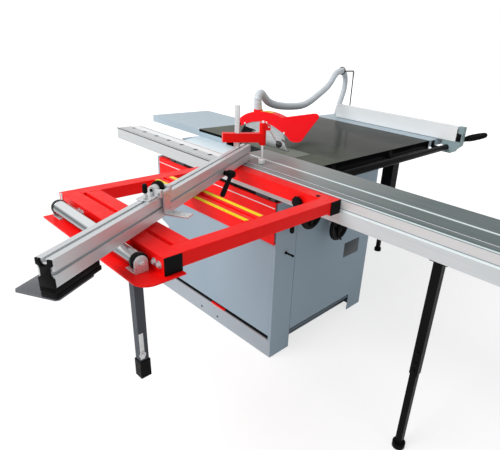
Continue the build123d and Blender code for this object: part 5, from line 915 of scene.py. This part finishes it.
def rod_with_end(name, low, high, end_colour):
    """Bright rod whose part between two heights is a plastic end of another colour."""
    mat = finish(name, (0.60, 0.61, 0.62), 0.32)
    end = zone(mat, Z=(low, high))
    feed(mat, "Base Color", tone_between(mat, grain(mat, 40), (0.54, 0.55, 0.56), (0.66, 0.67, 0.68)))
    painted(mat, end, end_colour)
    feed(mat, "Metallic", maths(mat, "SUBTRACT", 1.0, end))
    roughness_between(mat, grain(mat, 80), 0.26, 0.42)
    return mat


dress("clamp_plunger", rod_with_end("plunger_steel", 0.860, 0.8912, (0.78, 0.79, 0.79)), 0.0010)
dress("clamp_lever", rod_with_end("lever_steel", 0.900, 0.9660, (0.009, 0.009, 0.010)))

# Rip fence: a tall anodised profile on a pale blue-grey casting that slides along the fence bar.
# A black plastic grip locks the casting, and a black plug fills the corner between casting and profile.
dress("rip_fence", drawn_metal("rip_aluminium", (0.88, 0.905, 0.915), (0.95, 0.965, 0.97), 0.0), 0.0008)
casting_coat = clouded("casting_coat", (0.30, 0.40, 0.42), 0.45,
                       (9, (0.265, 0.355, 0.375), (0.335, 0.44, 0.46)), (60, 0.38, 0.54), (350, 0.00012),
                       gloss=0.15)
dress("rip_carriage", casting_coat, 0.0018, 3)
bm = bmesh.new()
eased_block(bm, (0.9745, -0.5600, 0.877), (0.9855, -0.5375, 0.918), 0.0015)
turned(bm, facing((0.9750, -0.5500, 0.898), (-1, 0, 0)),
       [(0, 0), (0.0080, 0), (0.0075, 0.004), (0.0040, 0.005), (0, 0.005)], 16)
settle(bm, "casting_plug", black_plastic, "rip_head")
rise = radians(22)
grip_way = (0, -cos(rise), sin(rise))
pivot = Vector((1.0403, -0.551, 0.880))
bm = bmesh.new()
turned(bm, facing(pivot, grip_way),
       [(0, -0.0145), (0.0075, -0.0130), (0.0125, -0.0080), (0.0145, 0.0020), (0.0145, 0.0260),
        (0.0110, 0.0360), (0, 0.0380)], 28)
turned(bm, facing(pivot + Vector((0.005, 0, 0)), grip_way),
       [(0, 0.0120), (0.0110, 0.0140), (0.0155, 0.0220), (0.0182, 0.0350), (0.0194, 0.0600), (0.0183, 0.0950),
        (0.0163, 0.1200), (0.0138, 0.1320), (0.0085, 0.1385), (0, 0.1400)], 28)
turned(bm, facing(pivot, (-1, 0, 0)), [(0, -0.002), (0.0050, -0.002), (0.0050, 0.0440), (0, 0.0440)], 16)
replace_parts(settle(bm, "rip_lock_grip", black_plastic, "rip_lock"), "rip_lever")
